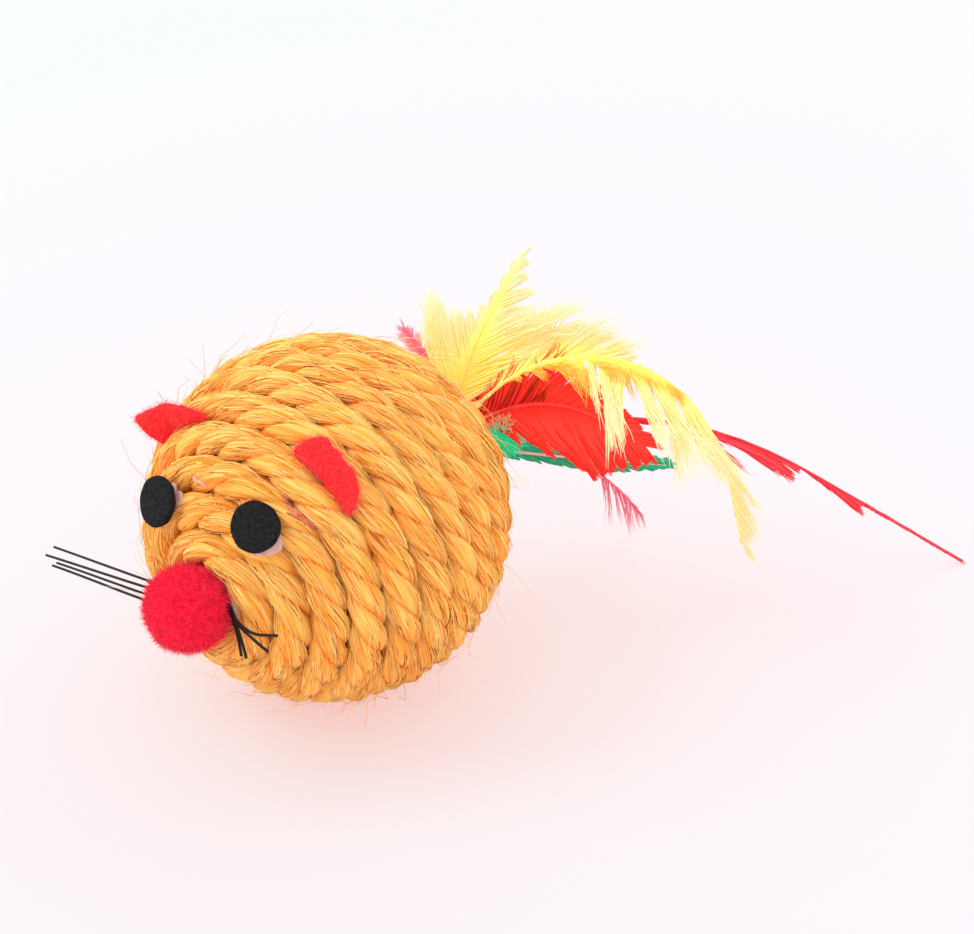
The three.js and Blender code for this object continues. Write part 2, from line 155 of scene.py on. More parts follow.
def painted(name, roughness, **sockets):
    """A material and its shader, whose sockets are named with _ for a space."""
    made = bpy.data.materials.new(name)
    made.use_nodes = True
    shader = made.node_tree.nodes["Principled BSDF"]
    sockets = {key.replace("_", " "): value for key, value in sockets.items()}
    return made, fill(shader, {"Roughness": roughness, **sockets})


def new_object(name, data):
    made = bpy.data.objects.new(name, data)
    bpy.context.scene.collection.objects.link(made)
    return made


def smooth_object(name, mesh):
    mesh.polygons.foreach_set("use_smooth", [True] * len(mesh.polygons))
    return new_object(name, mesh)


def mesh_object(name, points, faces, material):
    mesh = bpy.data.meshes.new(name)
    mesh.from_pydata(points, [], faces)
    mesh.materials.append(material)
    return smooth_object(name, mesh)


camera = new_object("camera", bpy.data.cameras.new("camera"))
camera.location = ball_middle + Vector((256.7, -262.4, 260.2)) * mm
camera.rotation_euler = Euler((radians(55.5), 0, radians(41)))
camera.data.lens = 122.56
camera.data.sensor_width = 36
camera.data.clip_start = 10 * mm
bpy.context.scene.camera = camera
bpy.context.scene.view_settings.view_transform = "Standard"


def seen_rays(tree):
    """1 for the rays that see a backdrop: the camera's, and those of gloss and of glass."""
    by_eye, by_gloss, by_glass = (
        wire(tree, "ShaderNodeLightPath", output=f"Is {kind} Ray")
        for kind in ("Camera", "Glossy", "Transmission"))
    return reckon("MAXIMUM", reckon("MAXIMUM", by_eye, by_gloss), by_glass)


room = bpy.data.worlds.new("room")
room.use_nodes = True
bpy.context.scene.world = room
fill(room.node_tree.nodes["Background"], {
    "Color": socket_value((248, 248, 253)),
    "Strength": scaled(seen_rays(room.node_tree), 0.0, 1.0, 1.27, 1.0),
})

floor_half = 1.5
floor_paint, floor_shade = painted("floor paint", 0.6)
paint = floor_paint.node_tree
looked_at = seen_rays(paint)
# Painted light: as the camera sees it, the floor has almost no red of its own and a pink glow, so its
# shade reads pink. This is a painted pink bounce from the red feathers, and the glow is pinker near
# the toy.
fill(floor_shade, {
    "Base Color": blended(looked_at, (0.92, 0.84, 0.8, 1), (0.02, 0.27, 0.31, 1))})
distance = reckon("LENGTH", object_place(paint))
painted_bounce_tint = blended(scaled(distance, 0.06, 0.2, curve="SMOOTHSTEP"), (0.9, 0.495, 0.455, 1),
               (0.862, 0.52, 0.52, 1))
glow = wire(paint, "ShaderNodeEmission", {"Color": painted_bounce_tint, "Strength": looked_at})
pale = wire(paint, "ShaderNodeAddShader", {0: Wire(floor_shade.outputs[0]), 1: glow})
fading = wire(paint, "ShaderNodeMixShader", {
    0: scaled(distance, 0.35, 1.3, curve="SMOOTHSTEP"), 1: pale,
    2: wire(paint, "ShaderNodeBsdfTransparent")})
fill(paint.nodes["Material Output"], {"Surface": fading})
corners = ((-1, -1), (1, -1), (1, 1), (-1, 1))
mesh_object("floor", [(x * floor_half, y * floor_half, 0) for x, y in corners],
                     [(0, 1, 2, 3)], floor_paint)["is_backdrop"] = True

for lamp_name, place, size, power in (
    ("key", (-0.55, -0.4, 0.7), 0.5, 4.0),
    ("back", (0.1, 0.9, 0.7), 0.8, 2.6),
):
    lamp = new_object(lamp_name, bpy.data.lights.new(lamp_name, "AREA"))
    lamp.data.size = size
    lamp.data.energy = power
    lamp.location = place
    lamp.rotation_euler = (ball_middle - lamp.location).to_track_quat("-Z", "Y").to_euler()

# Sisal rope: three dyed strands laid together, wound from the nose to the tail round the core. Both
# ends tuck into the core. Each strand is a bundle of stiff fibres, some of which stand up from it.
rope_radius = 2.5 * mm
frame_rope_radius = 2.375 * mm
winding_radius = (
    (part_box("sisal_rope")[1].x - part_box("sisal_rope")[0].x) / 2 - frame_rope_radius)
loop_angle = 4.8 * mm / winding_radius
well_angle = asin(5.7 * mm / winding_radius)
station_count = 24
path_steps = 96
lowest_polar = (pi - loop_angle) / 2
turns_to_lowest = floor((lowest_polar - well_angle) / loop_angle * station_count) / station_count
first_polar = lowest_polar - turns_to_lowest * loop_angle
first_azimuth = turns_to_lowest * tau - pi / 2
rope_turns = floor((pi - well_angle - first_polar) / loop_angle * station_count) / station_count


def ball_direction(polar, azimuth):
    """From the ball's middle, by the angle from the nose and the angle from the left over the top."""
    return Vector((sin(polar) * cos(azimuth), -cos(polar), sin(polar) * sin(azimuth)))


def wound(turn):
    return ball_direction(first_polar + turn * loop_angle, first_azimuth - turn * tau)


def tuck(turn, direction):
    """The rope's way from its last loop into the core, as places and the ways that they face."""
    tuck_radius, tuck_drop, tuck_plunge, easing = 3.2 * mm, 4.4 * mm, 2.4 * mm, 2.8 * mm
    steps = 12
    out = wound(turn)
    start = out * winding_radius
    travel = wound(turn + direction / station_count) * winding_radius - start
    travel = (travel - out * travel.dot(out)).normalized()
    pole = Vector((0, 1 if start.y > 0 else -1, 0))
    azimuth = first_azimuth - turn * tau - direction * radians(60)
    seat = ball_direction(pi / 2, azimuth) * tuck_radius + pole * (abs(start.y) - tuck_drop)
    dive = interpolate_bezier(
        start, start + travel * easing, seat + pole * tuck_plunge, seat, steps + 1)
    places = [(point, out.lerp(travel, i / steps)) for i, point in enumerate(dive)][1:]
    return places + [(seat - pole * 2 * frame_rope_radius, travel)]


rope_way = tuck(0, -1)[::-1]
rope_way += [(wound(i / path_steps) * winding_radius, wound(i / path_steps))
             for i in range(round(rope_turns * path_steps) + 1)]
rope_way += tuck(rope_turns, 1)


def path_mesh(name, points, **attributes):
    """A line of points that a node tree turns into a curve, with a value or a vector for each."""
    mesh = bpy.data.meshes.new(name)
    mesh.from_pydata(points, [(i, i + 1) for i in range(len(points) - 1)], [])
    for key, values in attributes.items():
        if isinstance(values[0], float):
            mesh.attributes.new(key, "FLOAT", "POINT").data.foreach_set("value", values)
        else:
            flat = [c for value in values for c in value]
            mesh.attributes.new(key, "FLOAT_VECTOR", "POINT").data.foreach_set("vector", flat)
    return mesh


rope_path = path_mesh(
    "rope way", [ball_middle + point for point, _ in rope_way], out=[out for _, out in rope_way])


def named_tree(kind, name, results, inputs):
    """A new tree and its inputs' wires. Inputs and results are listed by their kind of socket."""
    tree = bpy.data.node_groups.new(name, kind)
    for in_out, sockets in (("INPUT", inputs), ("OUTPUT", results)):
        for sort, labels in sockets.items():
            for label in labels.split():
                tree.interface.new_socket(label, in_out=in_out, socket_type="NodeSocket" + sort)
    outputs = node(tree, "NodeGroupInput").outputs
    return tree, SimpleNamespace(**{out.name: Wire(out) for out in outputs if out.name})


def geometry_tree(name, **inputs):
    return named_tree("GeometryNodeTree", name, {"Geometry": "Geometry"},
                      {"Geometry": "Geometry", **inputs})


def xyz(x, y, z):
    return wire(tree_of(x, y, z), "ShaderNodeCombineXYZ", {0: x, 1: y, 2: z})


def position(tree):
    return wire(tree, "GeometryNodeInputPosition")


def spline(tree, output="Factor"):
    return wire(tree, "GeometryNodeSplineParameter", output=output)


def saved(tree, name, kind="FLOAT"):
    return wire(tree, "GeometryNodeInputNamedAttribute", {"Name": name}, "Attribute",
                data_type=kind)


def saved_way(tree, name):
    return saved(tree, name, "FLOAT_VECTOR")


def keep(shape, **values):
    """A shape with values saved on its points, for later nodes or for its material."""
    for name, value in values.items():
        shape = wire(shape.tree, "GeometryNodeStoreNamedAttribute",
                     {"Geometry": shape, "Name": name, "Value": value},
                     data_type="FLOAT_VECTOR" if value.wide else "FLOAT", domain="POINT")
    return shape


def noise(at, scale=1.0, detail=2.0, output=0):
    return wire(at.tree, "ShaderNodeTexNoise", {"Vector": at, "Scale": scale, "Detail": detail},
                output)


def wander(at, scale=1.0, detail=1.0):
    """A shift that changes smoothly from place to place, up to a half each way."""
    return noise(at, scale, detail, "Color") - (0.5, 0.5, 0.5)


def moved(shape, **where):
    """A shape with its points at a Position, or shifted by an Offset."""
    return wire(shape.tree, "GeometryNodeSetPosition", {"Geometry": shape, **where})


def above_floor(shape, height):
    """Lifts what would sink into the floor on to it."""
    spot = position(shape.tree)
    return moved(shape, Position=reckon("MAXIMUM", spot, (-10, -10, height)))


def line_of(path, step):
    line = wire(path.tree, "GeometryNodeMeshToCurve", {0: path})
    return wire(path.tree, "GeometryNodeResampleCurve", {"Curve": line, "Length": step},
                mode="LENGTH")


def facing_up(line, normal):
    return wire(line.tree, "GeometryNodeSetCurveNormal", {"Curve": line, "Normal": normal},
                mode="FREE")


def ring_of(tree, sides):
    return wire(tree, "GeometryNodeCurvePrimitiveCircle", {"Resolution": sides, "Radius": 1})


def tube(line, ring, size=1.0):
    """A closed tube that carries a ring, of a size that may change, along a line."""
    return wire(line.tree, "GeometryNodeCurveToMesh", {
        "Curve": line, "Profile Curve": ring, "Fill Caps": True, "Scale": size})


def coated(shape, material):
    return wire(shape.tree, "GeometryNodeSetMaterial", {"Geometry": shape, "Material": material})


def realized(shape):
    return wire(shape.tree, "GeometryNodeRealizeInstances", {0: shape})


def hand_out(shape):
    node(shape.tree, "NodeGroupOutput", {0: realized(shape)})


def made_by(tree, name, mesh, **values):
    """The plain mesh that a tree makes of a mesh, as a new object."""
    source = new_object(name, mesh)
    modifier = source.modifiers.new(name, "NODES")
    modifier.node_group = tree
    for item in tree.interface.items_tree:
        if item.in_out == "INPUT" and item.name in values:
            modifier[item.identifier] = values[item.name]
    shapes = bpy.context.evaluated_depsgraph_get()
    made = bpy.data.meshes.new_from_object(
        source.evaluated_get(shapes), preserve_all_data_layers=True, depsgraph=shapes)
    made.name = name
    source.modifiers.clear()
    bpy.data.objects.remove(source)
    return smooth_object(name, made)


def turned_out(piece):
    """A piece that was made inside out, with its faces turned to point outwards."""
    piece.data.flip_normals()
    return piece


def put_on(body, slot, *pieces, stands_for=None):
    """The body that pieces move with, a finish's slot that is not used, and the node the first stands
    for.
    """
    if stands_for:
        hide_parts(stands_for)
    for piece in pieces:
        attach(piece, body)


def strand_line(given):
    """The rope's middle line, turned along its length so that it carries one strand's profile."""
    tree = given.Geometry.tree
    line = line_of(given.Geometry, 0.6 * mm)
    line = moved(line, Offset=wander(position(tree), 90.0, 2.0) * (1.2 * mm))
    line = facing_up(line, saved_way(tree, "out"))
    turn = spline(tree, "Length") * -tau / given.Lay
    return wire(tree, "GeometryNodeSetCurveTilt", {"Curve": line, "Tilt": turn + given.Phase})


def on_strand(along, around, width, length, depth):
    """A place on a strand's skin in grains of a width and a length, which slant along it."""
    girth = around * (9 * mm) + along * 0.66
    return xyz(girth / (width * mm), along / (length * mm), depth)


laid_strand, given = geometry_tree(
    "Laid strand", Float="Phase Lay Offset Depth Width Relief", Material="Material")
place = position(laid_strand)
line = strand_line(given)
line = keep(line, along=spline(laid_strand, "Length"), axis=place)
ring = keep(ring_of(laid_strand, 28), round=spline(laid_strand))
corner = node(laid_strand, "ShaderNodeSeparateXYZ", {0: place}).outputs
across = Wire(corner["Y"]) * (given.Width * -1.0)
deep = Wire(corner["X"]) * (given.Depth * -1.0) + given.Offset
body = tube(line, moved(ring, Position=xyz(across, deep, 0)))
# Each point's height from the rope's middle, which the sisal's painted groove shade reads.
body = keep(body, height=reckon("LENGTH", place - saved_way(laid_strand, "axis")))
coarse, broad = (
    (noise(on_strand(saved(laid_strand, "along"), saved(laid_strand, "round"), width, length,
                     given.Phase), 1.0, 1.0) - 0.5) * share
    for width, length, share in ((0.75, 8, 1.0), (2.2, 20, 1.7)))
normal = wire(laid_strand, "GeometryNodeInputNormal")
body = moved(body, Offset=normal * ((coarse + broad) * given.Relief))
hand_out(coated(above_floor(body, 0.05 * mm), given.Material))


def attribute(tree, name):
    return wire(tree, "ShaderNodeAttribute", output="Fac", attribute_name=name)


def ramp(factor, *stops):
    """A colour ramp through stops of place and screen colour."""
    made = node(factor.tree, "ShaderNodeValToRGB", {"Fac": factor})
    while len(made.color_ramp.elements) < len(stops):
        made.color_ramp.elements.new(0.5)
    for element, (place, colour) in zip(made.color_ramp.elements, stops):
        element.position = place
        element.color = socket_value(colour)
    return Wire(made.outputs["Color"])


def shader_group(name, results, **inputs):
    return named_tree("ShaderNodeTree", name, results, inputs)


def placed(shader, group, **values):
    """The wires of a shader group that is placed in a shader's material with its own values."""
    values = {k: socket_value(v) if isinstance(v, tuple) else v for k, v in values.items()}
    made = node(shader.id_data, "ShaderNodeGroup", values, node_tree=group)
    return [Wire(output) for output in made.outputs]


def bumped(height, strength, distance):
    return wire(height.tree, "ShaderNodeBump",
                {"Height": height, "Strength": strength, "Distance": distance})


patches, given = shader_group("Soft patches", {"Color": "Colour", "Float": "Height"},
                              Float="Scale Detail Low High", Color="Dark Light")
cloud = noise(object_place(patches), given.Scale, given.Detail)
node(patches, "NodeGroupOutput", {
    "Colour": blended(scaled(cloud, given.Low, given.High), given.Dark, given.Light),
    "Height": cloud})

white = (255, 255, 255)
sisal, shader = painted("dyed sisal", 0.5, Specular_IOR_Level=0.3)
tree = shader.id_data
fine, broad = (
    noise(on_strand(attribute(tree, "along"), attribute(tree, "round"), width, length, 0))
    for width, length in ((0.2, 6), (0.55, 10)))
colour = ramp(broad, (0.3, (255, 170, 50)), (0.48, (255, 194, 82)), (0.66, (255, 222, 134)))
dark = ramp(fine, (0.33, (176, 74, 10)), (0.43, (255, 236, 214)), (0.7, white))
dye, _ = placed(shader, patches, Scale=130.0, Detail=2.0, Low=0.32, High=0.6,
                Dark=(255, 224, 190), Light=white)
colour = blended(1.0, blended(0.85, colour, dark, "MULTIPLY"), dye, "MULTIPLY")
# Painted shade: the strand's skin turns a deeper orange where it sinks towards the rope's middle, in
# the grooves between strands.
groove_shade = scaled(attribute(tree, "height"), 1.7 * mm, 2.2 * mm, 1.0, 0.0)
fill(shader, {"Base Color": blended(groove_shade, colour, socket_value((240, 112, 16))),
              "Normal": bumped(broad * 0.8 + fine, 0.8, 0.2 * mm)})

strand_offset = 1.12 * mm
lay = [dict(Phase=i * tau / 3, Lay=14.6 * mm, Offset=strand_offset,
            Depth=rope_radius - strand_offset, Width=1.66 * mm) for i in range(3)]
strands = [
    turned_out(made_by(laid_strand, f"sisal_strand_{i + 1}", rope_path, Relief=0.3 * mm,
                       Material=sisal, **lay[i])) for i in range(3)]
for strand in strands:
    put_on("ball", "sisal", strand, stands_for="sisal_rope")

# Loose sisal: the fibres that lie along each strand, those that stray from it and a few long ones.
# They are the same stiff straw as the strands, and keep clear of the eyes.


def chance(given, low, high, shift):
    """A number from low to high, drawn for each root."""
    return wire(given.Seed.tree, "FunctionNodeRandomValue",
                {2: low, 3: high, "Seed": given.Seed + float(shift)}, 1)


def hairs_on(roots, points, **placing):
    """A straight hair of so many points on each root, each a line of its own."""
    hair = wire(roots.tree, "GeometryNodeCurvePrimitiveLine", {"End": (0, 0, 1)})
    hair = wire(roots.tree, "GeometryNodeResampleCurve", {"Curve": hair, "Count": points})
    return realized(wire(roots.tree, "GeometryNodeInstanceOnPoints",
                         {"Points": roots, "Instance": hair, **placing}))


laid_fibres, given = geometry_tree(
    "Fibres on a strand", Int="Count Points Seed", Vector="Middle Left_Eye Right_Eye",
    Float="Phase Lay Offset Depth Width Shortest Longest Thickness Height Loose Curl Slant Clear",
    Material="Material")
line = strand_line(given)
whole = wire(laid_fibres, "GeometryNodeCurveLength", {0: line})


def sample(length):
    return node(laid_fibres, "GeometryNodeSampleCurve", {"Curves": line, "Length": length},
                mode="LENGTH").outputs


start, grain, facing, lifted = (
    saved(laid_fibres, name) for name in ("start", "grain", "facing", "lifted"))
roots = wire(laid_fibres, "GeometryNodePoints", {"Count": given.Count})
roots = keep(
    roots,
    start=chance(given, 0.0, whole, 1),
    grain=chance(given, 0.0, 1.0, 2),
    size=chance(given, given.Shortest, given.Longest, 3),
    facing=chance(given, -1.8, 1.8, 4) + (start * (tau / given.Lay) - given.Phase),
    drift=given.Slant * chance(given, 0.75, 1.25, 5),
    lifted=chance(given, 0.0, given.Loose, 6),
)
shown = reckon("SINE", facing) > -0.4
seat = Wire(sample(start)["Position"])
for eye in (given.Left_Eye, given.Right_Eye):
    shown = shown * (reckon("LENGTH", seat - eye) > given.Clear)
hairs = hairs_on(roots, given.Points, Selection=shown)
share = spline(laid_fibres)
gone = (share - 0.5) * saved(laid_fibres, "size")
spot, tangent, normal = (Wire(sample(start + gone)[name])
                         for name in ("Position", "Tangent", "Normal"))
around = gone * saved(laid_fibres, "drift") + facing
tall = grain * given.Height
wide = (given.Width + tall) * reckon("COSINE", around)
deep = (given.Depth + tall) * reckon("SINE", around) + given.Offset
spot = spot + (normal * wide + reckon("CROSS_PRODUCT", tangent, normal) * deep)
outward = reckon("NORMALIZE", spot - given.Middle)
spot = spot + outward * (lifted * share ** 2.5)
bend = wander(spot * 250.0 + (7.0, 9.0, 11.0) * grain) * (given.Curl * share)
hairs = above_floor(moved(hairs, Position=spot + bend), 0.1 * mm)
taper = given.Thickness * (0.6 - share * 0.35)
hand_out(coated(tube(hairs, ring_of(laid_fibres, 3), taper), given.Material))


def three_tones(factor, stop, first, second, third):
    """Three colours along a factor from 0 to 1, the second of them at a stop."""
    nearer = blended(scaled(factor, 0.0, stop), first, second)
    return blended(scaled(factor, stop, 1.0), nearer, third)


fibre_tones, given = shader_group("Fibre tones", {"Color": "Colour"}, Color="Few Dull Bright")
node(fibre_tones, "NodeGroupOutput", {"Colour": three_tones(
    attribute(fibre_tones, "grain"), 0.14, given.Few, given.Dull, given.Bright)})


def fibre_material(name, roughness, dull, bright, glow=0.0, few=None, mottle=None):
    """Fibres that range from a dull to a bright colour, with a few darker ones. A glow stands for
    light that passes through them from their neighbours, and mottle darkens them in patches."""
    made, shader = painted(name, roughness, Specular_IOR_Level=0.2, Emission_Strength=glow)
    colour, = placed(shader, fibre_tones, Few=few or dull, Dull=dull, Bright=bright)
    if mottle:
        patch, _ = placed(shader, patches, Scale=1500.0, Detail=2.0, Low=0.4, High=0.58,
                          Dark=mottle, Light=white)
        colour = blended(1.0, colour, patch, "MULTIPLY")
    fill(shader, {"Base Color": colour, "Emission Color": colour})
    return made


straw = fibre_material("sisal fibre", 0.5, (255, 160, 44), (255, 226, 138), few=(150, 66, 10))
eye_places = {"left": (36.5, 60), "right": (31.5, 130)}
eye_ways = {side: ball_direction(radians(polar), radians(azimuth))
            for side, (polar, azimuth) in eye_places.items()}
ball_radius = 25 * mm
for i in range(3):
    for kind, count, shortest, longest, thickness, height, loose, curl, clear in (
        ("laid", 6000, 2.8, 6.0, 0.15, 0.09, 0.0, 0.25, 0),
        ("stray", 1500, 3.0, 8.0, 0.1, 0.15, 1.3, 1.3, 6.5),
        ("long", 120, 7.0, 14.0, 0.11, 0.3, 6.0, 7.0, 9.0),
    ):
        put_on("ball", "sisal", made_by(
            laid_fibres, f"sisal_{kind}_fibres_{i + 1}", rope_path, Count=count,
            Shortest=shortest * mm, Longest=longest * mm, Thickness=thickness * mm,
            Height=height * mm, Loose=loose * mm, Curl=curl * mm, Slant=460.0, Points=7,
            Middle=ball_middle, Left_Eye=ball_middle + eye_ways["left"] * ball_radius,
            Right_Eye=ball_middle + eye_ways["right"] * ball_radius, Clear=clear * mm,
            Seed=10 * i + count, Material=straw, **lay[i]))

# Core: two moulded plastic half balls inside the rope. Their shapes are the frame's own, and only
# their plastic is made here.


def mottled(name, roughness, scale, low, dark, light, detail=3.0, bump=0.0, **sockets):
    """A smooth finish in two tones of one colour, which lie in soft patches."""
    made, shader = painted(name, roughness, **sockets)
    colour, height = placed(shader, patches, Scale=scale, Detail=detail, Low=low, High=1 - low,
                            Dark=dark, Light=light)
    fill(shader, {"Base Color": colour})
    if bump:
        fill(shader, {"Normal": bumped(height, bump, 0.2 * mm)})
    return made


moulded = mottled("moulded plastic", 0.5, 900.0, 0.3, (214, 208, 196), (226, 221, 210))
for name in ("core_front_shell", "core_rear_shell"):
    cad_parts[name].material_slots[0].material = moulded

# Hot-melt glue: clear dabs and smears that hold the nose, the eyes and the ears. Each was pressed
# down, so it follows the rope's lumps and thins out to an uneven rim.
milky = mottled("hot-melt glue", 0.22, 700.0, 0.3, (242, 188, 178), (252, 220, 216), bump=0.3,
                Alpha=0.5)
bare_radius = 22 * mm
covered = BVHTree.FromPolygons(
    [v.co for strand in strands for v in strand.data.vertices],
    [[v + sum(len(s.data.vertices) for s in strands[:i]) for v in face.vertices]
     for i, strand in enumerate(strands) for face in strand.data.polygons])


def on_rope(outward, top=30 * mm):
    """How far from the ball's middle the rope's surface is, along a way out."""
    hit = covered.ray_cast(ball_middle + outward * top, -outward, top)
    return hit[3] and top - hit[3]


def smear(name, outward, reach, thickness, lobes=(), floor_radius=0.0, finish=milky):
    """A pressed dab of glue round a way out of the ball, with lobes of angle, width and reach."""
    side = outward.cross(Vector((0, 0, 1))).normalized()
    up = side.cross(outward)
    rings, around = 9, 40
    lift, sink = 0.04 * mm, 0.25 * mm
    tops, unders = [], []
    for ring in range(rings + 1):
        share = ring / rings
        for i in range(around if ring else 1):
            angle = i * tau / around
            rim = reach * (1 + 0.07 * sin(3 * angle + 1) + 0.05 * sin(7 * angle))
            for lobe, width, further in lobes:
                off = (angle - radians(lobe) + pi) % tau - pi
                rim += further * mm * max(0, 1 - (off / radians(width)) ** 2)
            across = (side * cos(angle) + up * sin(angle)) * rim * share
            way = (outward * ball_radius + across).normalized()
            face = max(on_rope(way) or bare_radius, floor_radius)
            raised = thickness * (1 - share ** 3)
            tops.append(ball_middle + way * (face + raised + lift))
            unders.append(ball_middle + way * (face - sink))
    count = len(tops)
    faces = []
    for shift, turned in ((0, False), (count, True)):
        for i in range(around):
            after = (i + 1) % around
            strip = [[0, 1 + i, 1 + after]]
            for ring in range(rings - 1):
                a = 1 + ring * around
                strip.append([a + i, a + around + i, a + around + after, a + after])
            faces += [[v + shift for v in (f[::-1] if turned else f)] for f in strip]
    a = 1 + (rings - 1) * around
    for i in range(around):
        after = (i + 1) % around
        faces.append([a + after, a + i, a + i + count, a + after + count])
    return turned_out(mesh_object(name, tops + unders, faces, finish))


# Nose: a crimson pompom of fine pile on a matted core. It is glued in front of the whiskers, and
# its glue shows as a dab on the rope.
low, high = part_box("nose_pompom")
pompom_radius = (high.x - low.x) / 2
pompom_middle = Vector(((low.x + high.x) / 2, low.y + pompom_radius, (low.z + high.z) / 2))


def lumpy_ball(name, middle, radius, lump, lump_size, material):
    shape = bmesh.new()
    bmesh.ops.create_icosphere(shape, subdivisions=5, radius=radius)
    for corner in shape.verts:
        swell = turbulence(corner.co / lump_size, 3, False)
        corner.co *= 1 + (swell - 0.5) * lump / radius
        corner.co += middle
    mesh = bpy.data.meshes.new(name)
    shape.to_mesh(mesh)
    shape.free()
    mesh.materials.append(material)
    return smooth_object(name, mesh)


fibres, given = geometry_tree(
    "Grow fibres", Float="Density Shortest Longest Thickness Scatter Curl Curl_Size Facing",
    Vector="Middle", Int="Points Seed", Material="Material")
outward = reckon("NORMALIZE", position(fibres) - given.Middle)
faced = reckon("DOT_PRODUCT", outward, wire(fibres, "GeometryNodeInputNormal"))
rooted = node(fibres, "GeometryNodeDistributePointsOnFaces", {
    "Mesh": given.Geometry, "Selection": faced > given.Facing, "Density": given.Density,
    "Seed": given.Seed}).outputs
loose = wire(fibres, "FunctionNodeRandomValue", {
    0: (-1, -1, -1), 1: (1, 1, 1), "Seed": given.Seed}, data_type="FLOAT_VECTOR")
length = wire(fibres, "FunctionNodeRandomValue", {
    2: given.Shortest, 3: given.Longest, "Seed": given.Seed}, 1)
roots = keep(Wire(rooted["Points"]),
             grain=wire(fibres, "FunctionNodeRandomValue", {"Seed": given.Seed}, 1))
turn = wire(fibres, "FunctionNodeAlignRotationToVector", {
    "Vector": Wire(rooted["Normal"]) + loose * given.Scatter}, axis="Z")
hairs = hairs_on(roots, given.Points, Rotation=turn, Scale=length)
share = spline(fibres)
size = wire(fibres, "GeometryNodeSplineLength", output="Length")
at = position(fibres) * (1.0 / given.Curl_Size) + (17.0, 29.0, 41.0) * saved(fibres, "grain")
hairs = moved(hairs, Offset=wander(at) * (size * given.Curl * share ** 1.3))
taper = given.Thickness * (0.5 - share * 0.35)
hand_out(coated(tube(above_floor(hairs, 0.1 * mm), ring_of(fibres, 3), taper), given.Material))

felt, given = shader_group("Felt", {"Color": "Colour", "Float": "Height"},
                           Float="Size", Color="Dark Bright")
place = object_place(felt)
bent = place + noise(place, 0.4 / given.Size, 2.0, "Color") * given.Size
tangle = noise(bent, 1.0 / given.Size, 3.0)
node(felt, "NodeGroupOutput", {
    "Colour": blended(scaled(tangle, 0.35, 0.62), given.Dark, given.Bright), "Height": tangle})


def felted(name, roughness, dark, bright, size):
    """Matted fibre: a tangle of fine lines in two depths of one colour."""
    made, shader = painted(name, roughness, Specular_IOR_Level=0.15)
    colour, height = placed(shader, felt, Size=size, Dark=dark, Bright=bright)
    fill(shader, {"Base Color": colour, "Normal": bumped(height, 0.7, 0.5 * size)})
    return made


def furred(name, core, middle, thickness, curl_size, **growth):
    """The fibres that grow from a piece's surface, where it doesn't face its middle."""
    return made_by(fibres, name, core.data, Middle=middle, Thickness=thickness * mm,
                   Curl_Size=curl_size * mm, **{"Facing": -1.0, **growth})


pile_core = felted("pile core", 0.8, (236, 10, 44), (252, 30, 72), 0.5 * mm)
pile = fibre_material("pink pile", 0.6, (240, 12, 44), (255, 64, 96), 0.15, (170, 6, 50),
                      (222, 214, 226))
pompom_core = lumpy_ball(
    "nose_pompom_core", pompom_middle, pompom_radius - 0.5 * mm, 0.5 * mm, 1.6 * mm, pile_core)
pompom_pile = furred(
    "nose_pompom_pile", pompom_core, pompom_middle, 0.075, 0.6, Density=2.1e7, Shortest=0.35 * mm,
    Longest=0.95 * mm, Scatter=0.75, Curl=1.2, Points=4, Seed=5, Material=pile)
put_on("ball", "pink_pile", pompom_core, pompom_pile, stands_for="nose_pompom")
nose_glue = smear("nose_glue_dab", Vector((0, -1, 0)), 3.6 * mm, 0.6 * mm, floor_radius=24.2 * mm,
                  lobes=((0, 40, 0.6), (180, 60, 1.3), (215, 25, 0.7)))
put_on("ball", "hot_glue", nose_glue, stands_for="nose_glue")

# Whiskers: four black nylon bristles that run behind the pompom from side to side. They taper to
# the tips. Places are shares of a bristle's reach across and up, and millimetres back.
whisker_reach = 28 * mm
whisker_plane = 26.29
threads, given = geometry_tree(
    "Tapered thread", Float="Thickness Tip_Share Step", Int="Sides", Material="Material")
share = spline(threads)
line = keep(line_of(given.Geometry, given.Step), reach=share)
size = scaled(share, 0.0, 1.0, 0.5, given.Tip_Share * 0.5) * given.Thickness
hand_out(coated(tube(line, ring_of(threads, given.Sides), size), given.Material))


def through(places, steps):
    """Points of a smooth line through places, the same line as the frame's."""
    ends = [places[0] * 2 - places[1]] + places + [places[-1] * 2 - places[-2]]
    points = []
    for i in range(len(places) - 1):
        a, b, c, d = ends[i:i + 4]
        gaps = [(q - p).length ** 0.5 for p, q in ((a, b), (b, c), (c, d))]
        rise = ((b - a) / gaps[0] - (c - a) / (gaps[0] + gaps[1]) + (c - b) / gaps[1]) * gaps[1]
        fall = ((c - b) / gaps[1] - (d - b) / (gaps[1] + gaps[2]) + (d - c) / gaps[2]) * gaps[1]
        points += [
            b + t * (rise + t * ((c - b) * 3 - rise * 2 - fall + t * ((b - c) * 2 + rise + fall)))
            for t in (j / steps for j in range(steps))]
    return points + [places[-1]]


